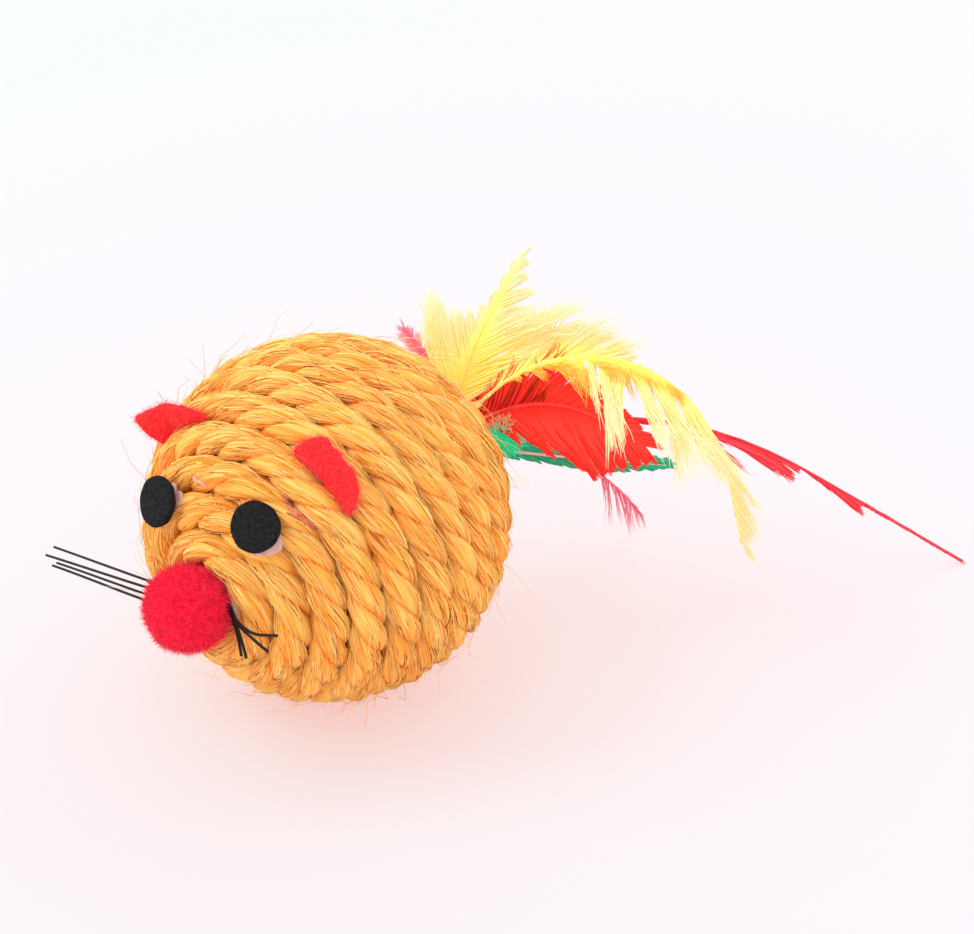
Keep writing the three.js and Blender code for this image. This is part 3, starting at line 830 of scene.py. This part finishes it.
nylon = mottled("black nylon", 0.4, 1500.0, 0.3, (8, 8, 9), (24, 22, 24), detail=2.0,
                Specular_IOR_Level=0.25)
for i, stops in enumerate((
    ((-0.936, -0.106, 0), (0, 0.067, 0), (0.2, 0.075, 1.6), (0.271, 0.034, 1.0), (0.414, 0.046, 0),
     (0.571, 0.11, 0)),
    ((-1, -0.185, 0), (0, 0.036, 0), (0.2, 0.06, 1.6), (0.271, 0.02, 1.0), (0.416, 0.011, 0),
     (0.508, -0.014, 0)),
    ((-0.925, -0.196, 0), (0, -0.004, 0), (0.2, 0.045, 1.6), (0.265, 0.006, 1.0),
     (0.339, -0.043, 0), (0.362, -0.124, 0)),
    ((-0.959, -0.228, 0), (0, -0.04, 0), (0.2, 0.03, 1.6), (0.26, -0.008, 1.0),
     (0.316, -0.04, 0), (0.33, -0.126, 0)),
)):
    stops = [
        ball_middle + Vector((x * whisker_reach, (back - whisker_plane) * mm, z * whisker_reach))
        for x, z, back in stops]
    whisker = made_by(
        threads, f"whisker_bristle_{i + 1}", path_mesh("whisker way", through(stops, 12)[::-1]),
        Thickness=0.42 * mm, Tip_Share=0.8, Step=0.7 * mm, Sides=8, Material=nylon)
    put_on("ball", "black_nylon", whisker, stands_for=f"whisker_{i + 1}")

# Eyes: two discs punched from black felt, with rounded edges and short fuzz. Each sits on a dab of
# glue that was squeezed out round it.
black_felt = felted("black felt", 0.95, (9, 9, 10), (38, 37, 40), 0.22 * mm)
black_fuzz = fibre_material("black felt fibre", 0.9, (12, 12, 13), (58, 56, 60))
eye_radius = 3.4 * mm
eye_base = 26.09 * mm
eye_thickness = 1.0 * mm
around = 72
profile = ((0.0, 0.0), (0.6, 0.0), (0.9, 0.0), (0.985, 0.12), (1.0, 0.35), (1.0, 0.62),
           (0.975, 0.84), (0.92, 0.95), (0.8, 1.0), (0.5, 1.03), (0.0, 1.04))
for name, tilt, dab, lobes in (
    ("left", 0.0, 2.6, ((218, 38, 1.5), (266, 34, 1.2))),
    ("right", 0.16, 2.15, ((138, 30, 1.1), (80, 25, 0.8))),
):
    polar, azimuth = eye_places[name]
    outward = eye_ways[name]
    facing = (outward + Vector((tilt, 0, 0))).normalized()
    side = facing.cross(Vector((0, 0, 1))).normalized()
    up = side.cross(facing)
    points, faces = [], []
    for share, height in profile:
        for i in range(around if share else 1):
            angle = i * tau / around
            wobble = 1 + 0.012 * sin(3 * angle + polar) + 0.008 * sin(8 * angle + azimuth)
            across = (side * cos(angle) + up * sin(angle)) * eye_radius * share * wobble
            points.append(ball_middle + outward * eye_base + facing * eye_thickness * height
                          + across)
    for i in range(around):
        after = (i + 1) % around
        faces.append([0, 1 + after, 1 + i])
        for ring in range(len(profile) - 3):
            a = 1 + ring * around
            faces.append([a + i, a + after, a + around + after, a + around + i])
        faces.append([a + around + i, a + around + after, len(points) - 1])
    eye = mesh_object(f"eye_felt_{name}", points, faces, black_felt)
    fuzz = furred(f"eye_fuzz_{name}", eye, ball_middle + outward * eye_base, 0.05, 0.5,
                  Density=1.5e7, Shortest=0.25 * mm, Longest=0.75 * mm, Scatter=1.2, Curl=1.2,
                  Points=4, Seed=round(polar), Material=black_fuzz)
    put_on("ball", "black_felt", turned_out(eye), fuzz, stands_for=f"eye_{name}")
    glue = smear(f"eye_smear_{name}", outward, dab * mm, 0.35 * mm, lobes, 24.9 * mm)
    put_on("ball", "hot_glue", glue, stands_for=f"eye_glue_{name}")

# Glue streaks: four thin smears that dried between the loops near the eyes. The first two are
# stained red.
residue = mottled("stained glue", 0.3, 900.0, 0.35, (236, 84, 78), (246, 170, 150), Alpha=0.5)
for i, (way, reach, lobes) in enumerate((
    ((0.383, -0.677, 0.628), 0.55, ((50, 40, 1.2), (228, 34, 1.7))),
    ((0.494, -0.665, 0.56), 0.45, ((40, 34, 1.2), (212, 36, 1.3))),
    ((-0.17, -0.795, 0.582), 0.3, ((5, 30, 1.1), (172, 26, 1.4))),
    ((0.209, -0.971, 0.12), 0.3, ((60, 60, 0.3),)),
)):
    put_on("ball", "hot_glue", smear(
        f"glue_streak_{i + 1}", Vector(way).normalized(), reach * mm, 0.42 * mm, lobes,
        finish=residue if i < 2 else milky))

# Ears: two flaps cut from red craft felt. Each stands in the groove between two loops of rope, on a
# bead of glue. The left one leans back, and the right one stands up.
red_felt = felted("red felt", 0.9, (246, 28, 38), (255, 52, 56), 0.3 * mm)
red_fuzz = fibre_material("red felt fibre", 0.85, (248, 34, 44), (255, 104, 100), 0.1)
ear_thickness = 1.0 * mm
ear_seat = 24.243 * mm
ear_half_width = 6.3 * mm
ear_straight = 1.2 * mm
ear_leaning = 3.5 * mm
rows, columns = 20, 34
seed_set(1)


def ear_point(azimuth, lean, taller, across, up):
    """The middle of the felt: across runs from -1 to 1, and up from 0 at the seat to 1."""
    turn = azimuth + across * ear_half_width / ear_seat * (1 - 0.3 * up ** 2)
    polar = pi / 2 + (-2 - (turn + pi / 2) / tau) * loop_angle
    reach = ear_straight + ear_leaning * (1 - 0.18 * across ** 4) * (1 + taller * across)
    straight = min(up * reach, ear_straight)
    leaning = up * reach - straight
    return (ball_middle + ball_direction(polar, turn) * (ear_seat + straight + leaning * cos(lean))
            + ball_direction(polar + pi / 2, turn) * leaning * sin(lean))


for name, azimuth, lean, taller in (("left", 57, 62, 0.2), ("right", 132, 0, 0.4)):
    place = radians(azimuth), radians(lean), taller
    rings = []
    for row in range(rows + 1):
        up = row / rows
        front, back = [], []
        for column in range(columns + 1):
            across = 2 * column / columns - 1
            point = ear_point(*place, across, up)
            sideways = ear_point(*place, across + 0.02, up) - ear_point(*place, across - 0.02, up)
            upward = ear_point(*place, across, up + 0.02) - ear_point(*place, across, up - 0.02)
            normal = sideways.cross(upward).normalized()
            rim = min(1.0, (1 - abs(across)) * 14, (1 - up) * 9)
            half = ear_thickness / 2 * (0.35 + 0.65 * (1 - (1 - rim) ** 2) ** 0.5)
            ripple = turbulence_vector(point / (2.2 * mm), 3, False) * 0.16 * mm
            wave = normal * 0.3 * mm * sin(across * 4 + up * 3) * up
            edge = upward.normalized() * 0.25 * mm * noise_value(point / (1.3 * mm)) * up ** 3
            front.append(point + normal * half + ripple + wave + edge)
            back.append(point - normal * half + ripple + wave + edge)
        rings.append(front + back[::-1])
    size = len(rings[0])
    points = [point for ring in rings for point in ring]
    faces = [[r * size + i, r * size + (i + 1) % size,
              (r + 1) * size + (i + 1) % size, (r + 1) * size + i]
             for r in range(rows) for i in range(size)]
    for start, turned in ((0, True), (rows * size, False)):
        for i in range(columns):
            rung = [start + i, start + i + 1, start + size - 2 - i, start + size - 1 - i]
            faces.append(rung[::-1] if turned else rung)
    ear = mesh_object(f"ear_felt_{name}", points, faces, red_felt)
    fuzz = furred(f"ear_fuzz_{name}", ear, ball_middle, 0.05, 0.6, Density=1.5e7,
                  Shortest=0.3 * mm, Longest=1.0 * mm, Scatter=1.2, Curl=1.4, Points=5,
                  Facing=-2.0, Seed=azimuth, Material=red_fuzz)
    put_on("ball", "red_felt", ear, fuzz, stands_for=f"ear_{name}")
    foot = (ear_point(*place, 0, 0) - ball_middle).normalized()
    bead = smear(f"ear_bead_{name}", foot, 0.5 * mm, 0.1 * mm, ((40, 50, 1.2), (220, 50, 1.2)))
    put_on("ball", "hot_glue", bead, stands_for=f"ear_glue_{name}")

# Tail: feathers glued by their quills into the well at the back. Each has a tapering quill, and
# barbs that leave it on both sides, cling together in points and droop. First comes the glue.
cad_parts["tail_glue_plug"].material_slots[0].material = milky
tail_root = Vector((0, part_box("tail_glue_plug")[1].y - 3 * mm, ball_middle.z))

feathers, given = geometry_tree(
    "Feather", Int="Barbs Layers Points Seed", Material="Quill Vane",
    Float="Width Thickness Sweep Lift Droop Wave Wave_Size Spread Uneven Clumps Gather Split")
line = wire(feathers, "GeometryNodeMeshToCurve", {0: given.Geometry})
quill = tube(line, ring_of(feathers, 10), saved(feathers, "girth"))
quill = coated(above_floor(quill, 0.1 * mm), given.Quill)
fine = wire(feathers, "GeometryNodeResampleCurve", {"Curve": line, "Count": given.Barbs})
spots = node(feathers, "GeometryNodeCurveToPoints", {"Curve": fine}, mode="EVALUATED").outputs
copies = node(feathers, "GeometryNodeDuplicateElements", {
    "Geometry": keep(Wire(spots["Points"]), along=Wire(spots["Tangent"])),
    "Amount": given.Layers * 2.0}, domain="POINT").outputs
side = reckon("MODULO", Wire(copies["Duplicate Index"]), 2.0) * 2.0 + -1.0


def either(name):
    """A value saved for the near and for the far barbs, as the barb's side has it."""
    return wire(feathers, "ShaderNodeMix", {
        0: side > 0.0, 2: saved(feathers, "far_" + name), 3: saved(feathers, "near_" + name)})


whole = saved(feathers, "whole")
along = saved_way(feathers, "along")
tuft = saved(feathers, "share") * given.Clumps + side * 0.3
tuft_number = reckon("FLOOR", tuft)
odds = node(feathers, "ShaderNodeTexWhiteNoise", {"W": tuft_number + side * 0.17},
            noise_dimensions="1D").outputs
lean = Wire(odds["Value"]) - 0.5
second_odds = wire(feathers, "FunctionNodeSeparateColor", {0: Wire(odds["Color"])}, 1)
shortage = chance(given, 0.0, 1.0, 2) * 0.35 + second_odds * 0.65
jitter = (lean + chance(given, -0.5, 0.5, 3) * 0.35) * given.Spread
angle = either("angle") * (jitter + 1.0)
spots = keep(
    Wire(copies["Geometry"]),
    side=side,
    grain=chance(given, 0.0, 1.0, 1),
    size=either("reach") * (1.0 - shortage * given.Uneven),
    pull=(tuft_number + 0.5 - tuft) / given.Clumps * whole,
    way=(along * reckon("COSINE", angle)
         + saved_way(feathers, "near") * side * reckon("SINE", angle)),
    rise=given.Lift + (chance(given, -0.5, 0.5, 4) + lean) * given.Spread,
)
slip = along * (chance(given, -0.5, 0.5, 5) * (whole / given.Barbs))
spots = keep(moved(spots, Offset=slip), root=position(feathers))
size = saved(feathers, "size")
barbs = hairs_on(spots, given.Points, Selection=size > 0.4 * mm)
share = spline(feathers)
bowed = size * (share * share)
upward = saved_way(feathers, "up")
spot = saved_way(feathers, "root") + saved_way(feathers, "way") * (size * share)
spot = spot + along * (bowed * given.Sweep)
spot = spot + upward * (bowed * saved(feathers, "rise"))
spot = spot + (0, 0, -1) * (bowed * given.Droop)
spot = spot + along * (share ** given.Split * saved(feathers, "pull") * given.Gather)
at = spot * (1.0 / given.Wave_Size) + (13.0, 31.0, 47.0) * saved(feathers, "grain") * 0.06
curl = wander(at) * (size * given.Wave * share ** 1.3)
barbs = above_floor(moved(barbs, Position=spot + curl), 0.15 * mm)
barbs = facing_up(keep(barbs, reach=share), upward)
corner = node(feathers, "ShaderNodeSeparateXYZ", {0: position(feathers)}).outputs
thin = Wire(corner["X"]) * (given.Thickness * 0.5)
wide = Wire(corner["Y"]) * (given.Width * 0.5)
ring = moved(ring_of(feathers, 4), Position=xyz(thin, wide, 0))
vane = coated(tube(barbs, ring, 1.0 - share * share * 0.85), given.Vane)
both = node(feathers, "GeometryNodeJoinGeometry")
fill(both, {0: vane})
fill(both, {0: quill})
hand_out(Wire(both.outputs[0]))


def part_way(first, second, share):
    return first + (second - first) * share


def quill_stations(length, heading, rise, bend_share, roll):
    """A quill's places, ways and near sides, from the tail's root, as the frame has them."""
    count = 18
    stations = []
    for i in range(count + 1):
        part = min(1, i / count / bend_share)
        part = part * part * (3 - 2 * part)
        turn = radians(part_way(*heading, part))
        lift = radians(part_way(*rise, part))
        along = Vector((sin(turn) * cos(lift), cos(turn) * cos(lift), sin(lift)))
        near = Vector((cos(turn), -sin(turn), 0))
        near.rotate(Quaternion(along, radians(roll)))
        if stations:
            point, before, _ = stations[-1]
            point = point + (before + along).normalized() * length / count
        else:
            point = tail_root + along * 3.3 * mm
        stations.append((point, along, near))
    return stations


def between(rows, share, column):
    """A value of a table whose rows begin with a share of the quill."""
    for first, second in zip(rows, rows[1:]):
        if share <= second[0]:
            part = (share - first[0]) / (second[0] - first[0])
            return part_way(first[column], second[column], part)
    return rows[-1][column]


barb_tones, given = shader_group("Barb tones", {"Color": "Colour", "Float": "Cover"},
                                 Color="Root Middle Tip", Float="Paler Darkest Tip_Cover")
reach = attribute(barb_tones, "reach")
outward = attribute(barb_tones, "share") * given.Paler + reach
colour = three_tones(outward, 0.35, given.Root, given.Middle, given.Tip)
shade = scaled(attribute(barb_tones, "grain"), 0.0, 1.0, given.Darkest, 1.0)
node(barb_tones, "NodeGroupOutput", {
    "Colour": colour * shade, "Cover": scaled(reach, 0.3, 1.0, 1.0, given.Tip_Cover)})


def barb_material(name, root, middle, tip, depth=0.15, glow=0.2, tip_cover=1.0, paler=0.0,
                  roughness=0.5):
    """Barbs that change colour from the quill to their tips, and towards the quill's own tip, each
    a little lighter or darker. The thin tips let some light through. Their glow is painted light,
    which stands for light that passes through them from their neighbours."""
    made, shader = painted(name, roughness, Specular_IOR_Level=0.2, Emission_Strength=glow)
    colour, cover = placed(shader, barb_tones, Root=root, Middle=middle, Tip=tip, Paler=paler,
                           Darkest=1 - depth, Tip_Cover=tip_cover)
    fill(shader, {"Base Color": colour, "Emission Color": colour})
    if tip_cover < 1:
        fill(shader, {"Alpha": cover})
    return made


def quill_material(name, dark, light):
    return mottled(name, 0.4, 400.0, 0.35, dark, light, detail=2.0)


def make_feather(name, replaced, slot, quill, rows, quill_finish, vane_finish, seed, girth=0.1,
                 **shape):
    """A feather on one of the frame's quills. Its rows hold, for shares of the quill, how long the
    near and the far barbs are and the angles at which they leave. Sizes are in millimetres."""
    shape = {"Layers": 3, "Points": 8, "Thickness": 0.08, "Sweep": 0.1, "Lift": 0.0, "Droop": 0.0,
             "Wave_Size": 6, "Spread": 0.3, "Clumps": 12.0, "Split": 1.5, **shape}
    for size in ("Width", "Thickness", "Wave_Size"):
        shape[size] *= mm
    spots = quill_stations(*quill)
    finer = []
    for (p, a, n), (q, b, m) in zip(spots, spots[1:]):
        finer += [(p.lerp(q, t), a.lerp(b, t).normalized(), n.lerp(m, t).normalized())
                  for t in (0, 0.25, 0.5, 0.75)]
    finer.append(spots[-1])
    shares = [i / (len(finer) - 1) for i in range(len(finer))]
    path = path_mesh(
        name, [point for point, _, _ in finer],
        near=[near for _, _, near in finer],
        up=[along.cross(near) for _, along, near in finer],
        share=shares,
        whole=[float(quill[0]) for _ in shares],
        near_reach=[between(rows, s, 1) * mm for s in shares],
        far_reach=[between(rows, s, 2) * mm for s in shares],
        near_angle=[radians(between(rows, s, 3)) for s in shares],
        far_angle=[radians(between(rows, s, 4)) for s in shares],
        girth=[girth * mm * (1 - 0.85 * s) for s in shares],
    )
    made = made_by(feathers, name, path, Quill=quill_finish, Vane=vane_finish, Seed=seed, **shape)
    put_on("tail", slot, made, stands_for=replaced)


# Red feathers: a long one with its barbs in wedges, which reaches furthest, a strand split off it,
# and a broad plume near the root. Loose barbs hang from the plume; their darker red, without glow,
# is painted shade.
red_barbs = barb_material("red barbs", (246, 34, 44), (255, 46, 58), (255, 74, 86), 0.2, 0.15)
bright_red_barbs = barb_material(
    "bright red barbs", (255, 36, 32), (255, 52, 38), (255, 50, 40), 0.12, 0.3)
# A darker red copy of the red barbs, without glow: painted shade for the loose barbs near the root.
shaded_red_barbs = barb_material(
    "shaded red barbs", (190, 20, 20), (196, 40, 20), (226, 104, 36), 0.2, 0.0, 0.5)
red_quill = quill_material("red quill", (210, 20, 36), (236, 40, 56))
bright_red_quill = quill_material("bright red quill", (238, 42, 42), (250, 58, 50))
long_red = (79.5 * mm, (46, 44.5), (13, -36), 0.71, 15)
broad_red = (27 * mm, (46, 66), (35, -26), 0.9, 20)
make_feather(
    "long_red_tail", "long_red_feather", "red_feather", long_red,
    ((0, 0.5, 0.5, 30, 30), (0.3, 2, 1, 24, 24), (0.41, 2, 0.6, 20, 17), (0.425, 11.5, 0.6, 22, 17),
     (0.5, 9, 0.6, 22, 17), (0.56, 5, 0.6, 18, 15), (0.61, 1.2, 0.5, 12, 12),
     (0.635, 1.2, 0.5, 12, 12), (0.645, 10.5, 0.5, 13, 12), (0.7, 6, 0.5, 13, 12),
     (0.74, 2, 1.2, 12, 12), (0.78, 1.7, 1.5, 13, 13), (1, 1.5, 1.3, 12, 12)),
    red_quill, red_barbs, 3, 0.42, Barbs=330, Layers=2, Width=0.5, Thickness=0.07, Sweep=0.05,
    Droop=0.03, Wave=0.05, Spread=0.1, Uneven=0.2, Clumps=40.0, Gather=0.2)
make_feather(
    "long_red_strand", None, "red_feather", long_red,
    ((0, 0, 0, 40, 30), (0.378, 0, 0, 40, 30), (0.382, 11.5, 0, 41, 30), (0.405, 11, 0, 40, 30),
     (0.41, 0, 0, 36, 30), (1, 0, 0, 30, 30)),
    red_quill, red_barbs, 13, Barbs=240, Points=9, Width=0.35, Droop=0.15, Wave=0.1,
    Spread=0.08, Uneven=0.5, Gather=0.8)
make_feather(
    "broad_red_plume", "broad_red_feather", "red_feather", broad_red,
    ((0, 0.8, 8.5, 75, 68), (0.14, 2.2, 8, 72, 60), (0.22, 7, 8.2, 70, 56),
     (0.3, 11, 8.8, 66, 52), (0.4, 13.6, 8.4, 62, 50), (0.5, 12.3, 7.4, 57, 48),
     (0.6, 11, 6, 52, 45), (0.8, 7, 5, 40, 40), (1, 3.5, 3.5, 20, 20)),
    bright_red_quill, bright_red_barbs, 4, 0.5, Barbs=150, Layers=4, Width=0.7, Droop=0.05,
    Wave=0.12, Spread=0.12, Uneven=0.13, Gather=0.4)
make_feather(
    "broad_red_wisps", None, "red_feather", broad_red,
    ((0, 0, 7, 75, 50), (0.1, 0, 10, 72, 46), (0.22, 0, 10.5, 66, 44), (0.34, 0, 8.5, 62, 42),
     (0.5, 0, 0, 62, 45), (1, 0, 0, 62, 45)),
    red_quill, shaded_red_barbs, 14, Barbs=34, Layers=2, Points=10, Width=0.28, Lift=-0.6,
    Wave=0.4, Wave_Size=7, Uneven=0.45, Clumps=11.0, Gather=0.9)

# Green feather: a short vane that runs low beside the red ones, on a pale quill. A ball of fluff
# and some down stand at its root.
green_barbs = barb_material(
    "green barbs", (24, 160, 112), (34, 180, 128), (60, 196, 150), 0.2, 0.1)
pale_quill = quill_material("pale quill", (226, 214, 196), (240, 232, 218))
green = (29 * mm, (46, 40), (-10, -11), 0.9, 15)
make_feather(
    "green_vane", "green_feather", "green_feather", green,
    ((0, 1, 4, 50, 50), (0.15, 1.5, 4, 50, 50), (0.3, 2.5, 5, 40, 36), (0.45, 4, 6, 34, 34),
     (0.6, 4, 6, 30, 28), (0.8, 3, 5, 26, 28), (1, 1.5, 2, 15, 15)),
    pale_quill, green_barbs, 5, 0.34, Barbs=150, Points=6, Width=0.5, Thickness=0.07, Sweep=0.2,
    Droop=0.03, Wave=0.1, Wave_Size=5, Spread=0.12, Uneven=0.25, Gather=0.4)
fluff_root, _, fluff_side = quill_stations(*green)[3]
fluff_middle = fluff_root + fluff_side * 2.4 * mm + Vector((0.3, 0.5, 4.4)) * mm
fluff_finish = fibre_material("green fluff", 0.6, (24, 192, 138), (66, 232, 182), 0.3)
fluff_core = lumpy_ball(
    "green_fluff_core", fluff_middle, 1.3 * mm, 0.5 * mm, 1 * mm, fluff_finish)
fluff = furred("green_fluff", fluff_core, fluff_middle, 0.13, 1.2, Density=7e7,
               Shortest=0.8 * mm, Longest=2.8 * mm, Scatter=0.8, Curl=1.2, Points=6, Seed=31,
               Material=fluff_finish)
put_on("tail", "green_feather", fluff_core, fluff)
make_feather(
    "green_down", None, "green_feather", green,
    ((0, 4.6, 2, 80, 70), (0.14, 4.6, 2, 80, 70), (0.18, 0, 0, 80, 70), (1, 0, 0, 80, 70)),
    pale_quill, fluff_finish, 15, Barbs=150, Width=0.16, Sweep=0.0, Lift=1.7, Wave=0.5,
    Wave_Size=3, Spread=0.5, Uneven=0.3, Gather=0.2)

# Yellow feathers: a fan that stands up at the root, and a long one that droops, with orange-yellow
# down under it. A few red barbs cross the long one near its root.
yellow_barbs = barb_material(
    "yellow barbs", (255, 200, 64), (255, 229, 116), (255, 232, 184), 0.05, 0.25, 0.45, 0.38)
orange_barbs = barb_material(
    "orange down", (255, 216, 84), (255, 212, 92), (254, 190, 82), 0.05, 0.26, 0.3)
crossing_barbs = barb_material(
    "barbs across the yellow", (238, 70, 30), (242, 116, 38), (248, 176, 66), 0.15, 0.1, 0.35)
yellow_quill = quill_material("yellow quill", (255, 224, 116), (255, 234, 144))
drooping = (63 * mm, (58, 57), (56, -78), 0.9, 0)
make_feather(
    "yellow_fan", "yellow_upper_plume", "yellow_feather", (26.5 * mm, (5, 24), (68, 58), 0.9, 25),
    ((0, 4, 19, 42, 35), (0.09, 6, 16, 42, 34), (0.15, 20, 14, 42, 34), (0.3, 20, 10, 42, 33),
     (0.45, 12, 5, 42, 34), (0.6, 6.5, 3.5, 36, 30), (0.8, 4, 3.2, 26, 26), (1, 1.2, 1, 14, 14)),
    yellow_quill, yellow_barbs, 6, 0.2, Barbs=150, Layers=6, Points=11, Width=0.3, Thickness=0.1,
    Lift=0.1, Droop=0.1, Wave=0.4, Wave_Size=7, Uneven=0.3, Clumps=9.0, Gather=0.6)
make_feather(
    "yellow_drooping_tail", "yellow_drooping_plume", "yellow_feather", drooping,
    ((0, 0.9, 0, 50, 50), (0.1, 0.9, 0, 55, 50), (0.13, 0.9, 2, 57, 50), (0.19, 0.9, 15, 64, 48),
     (0.3, 1.5, 14, 72, 42), (0.37, 2, 11, 80, 38), (0.41, 24, 4, 84, 32), (0.5, 21, 1, 82, 26),
     (0.6, 16, 0.6, 66, 20), (0.68, 9, 0.6, 44, 14), (0.72, 5, 0.6, 30, 12), (0.75, 3, 11, 20, 10),
     (0.82, 2, 11, 14, 13), (0.88, 1.5, 9.5, 14, 16), (0.95, 1, 6.5, 12, 19), (1, 1, 5, 12, 20)),
    yellow_quill, yellow_barbs, 7, 0.28, Barbs=300, Layers=4, Points=10, Width=0.36,
    Thickness=0.1, Lift=-0.15, Droop=0.25, Wave=0.14, Wave_Size=7, Uneven=0.4, Clumps=27.0,
    Gather=0.95, Split=0.7)
make_feather(
    "yellow_orange_down", None, "yellow_feather", drooping,
    ((0, 0, 0, 50, 60), (0.16, 0, 0, 50, 60), (0.2, 2.5, 0, 56, 60), (0.28, 6, 0, 62, 60),
     (0.36, 9, 0, 66, 60), (0.42, 7, 0, 70, 60), (0.5, 5.5, 0, 72, 60), (0.57, 4, 0, 70, 60),
     (0.6, 0, 0, 70, 60), (1, 0, 0, 60, 60)),
    yellow_quill, orange_barbs, 17, Barbs=300, Layers=4, Width=0.24, Sweep=0.25, Lift=-0.1,
    Droop=0.1, Wave=0.5, Wave_Size=5, Spread=0.5, Uneven=0.45, Clumps=60.0, Gather=0.3)
make_feather(
    "broad_red_crossing_wisps", None, "red_feather", drooping,
    ((0, 0, 0, 75, 56), (0.08, 0, 0, 75, 56), (0.09, 0, 7, 75, 58), (0.18, 0, 8, 75, 56),
     (0.19, 0, 0, 75, 56), (0.25, 0, 0, 75, 60), (0.26, 0, 5, 75, 60), (0.31, 0, 4.5, 75, 60),
     (0.32, 0, 0, 75, 60), (1, 0, 0, 75, 60)),
    yellow_quill, crossing_barbs, 18, Barbs=110, Layers=2, Width=0.26, Lift=-0.3, Wave=0.2,
    Spread=0.2, Uneven=0.5, Clumps=28.0, Gather=0.97)

# Crimson feathers: a small tuft that leans to the left, and one that runs low under the others and
# shows only at its end.
crimson_barbs = barb_material("crimson barbs", (230, 62, 92), (250, 134, 150), (255, 200, 208),
                              0.15, 0.15, 0.35, roughness=0.55)
crimson_quill = quill_material("crimson quill", (216, 50, 94), (236, 84, 124))
make_feather(
    "crimson_left_tuft", "crimson_left_plume", "crimson_feather",
    (17.5 * mm, (-35, -75), (26, 20), 0.6, -30),
    ((0, 1, 1, 60, 60), (0.4, 3, 3, 50, 50), (0.8, 3.5, 3.5, 40, 40), (1, 2.5, 2.5, 15, 15)),
    crimson_quill, crimson_barbs, 8, 0.35, Barbs=60, Width=0.24, Sweep=0.2, Lift=0.1, Droop=0.1,
    Wave=0.5, Wave_Size=5, Spread=0.5, Uneven=0.5, Clumps=9.0, Gather=0.7)
make_feather(
    "crimson_low_tuft", "crimson_low_plume", "crimson_feather",
    (33 * mm, (16, 56), (-14, -50), 1, 10),
    ((0, 0, 0, 60, 60), (0.72, 0, 0, 60, 50), (0.75, 6.5, 1, 60, 50), (0.82, 6, 2, 62, 50),
     (0.9, 5, 2, 58, 50), (0.95, 3, 1.5, 40, 40), (1, 1.5, 1, 15, 15)),
    crimson_quill, crimson_barbs, 9, 0.18, Barbs=70, Width=0.24, Droop=0.5, Wave=0.3,
    Wave_Size=5, Uneven=0.5, Clumps=20.0, Gather=0.95)

low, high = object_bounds()
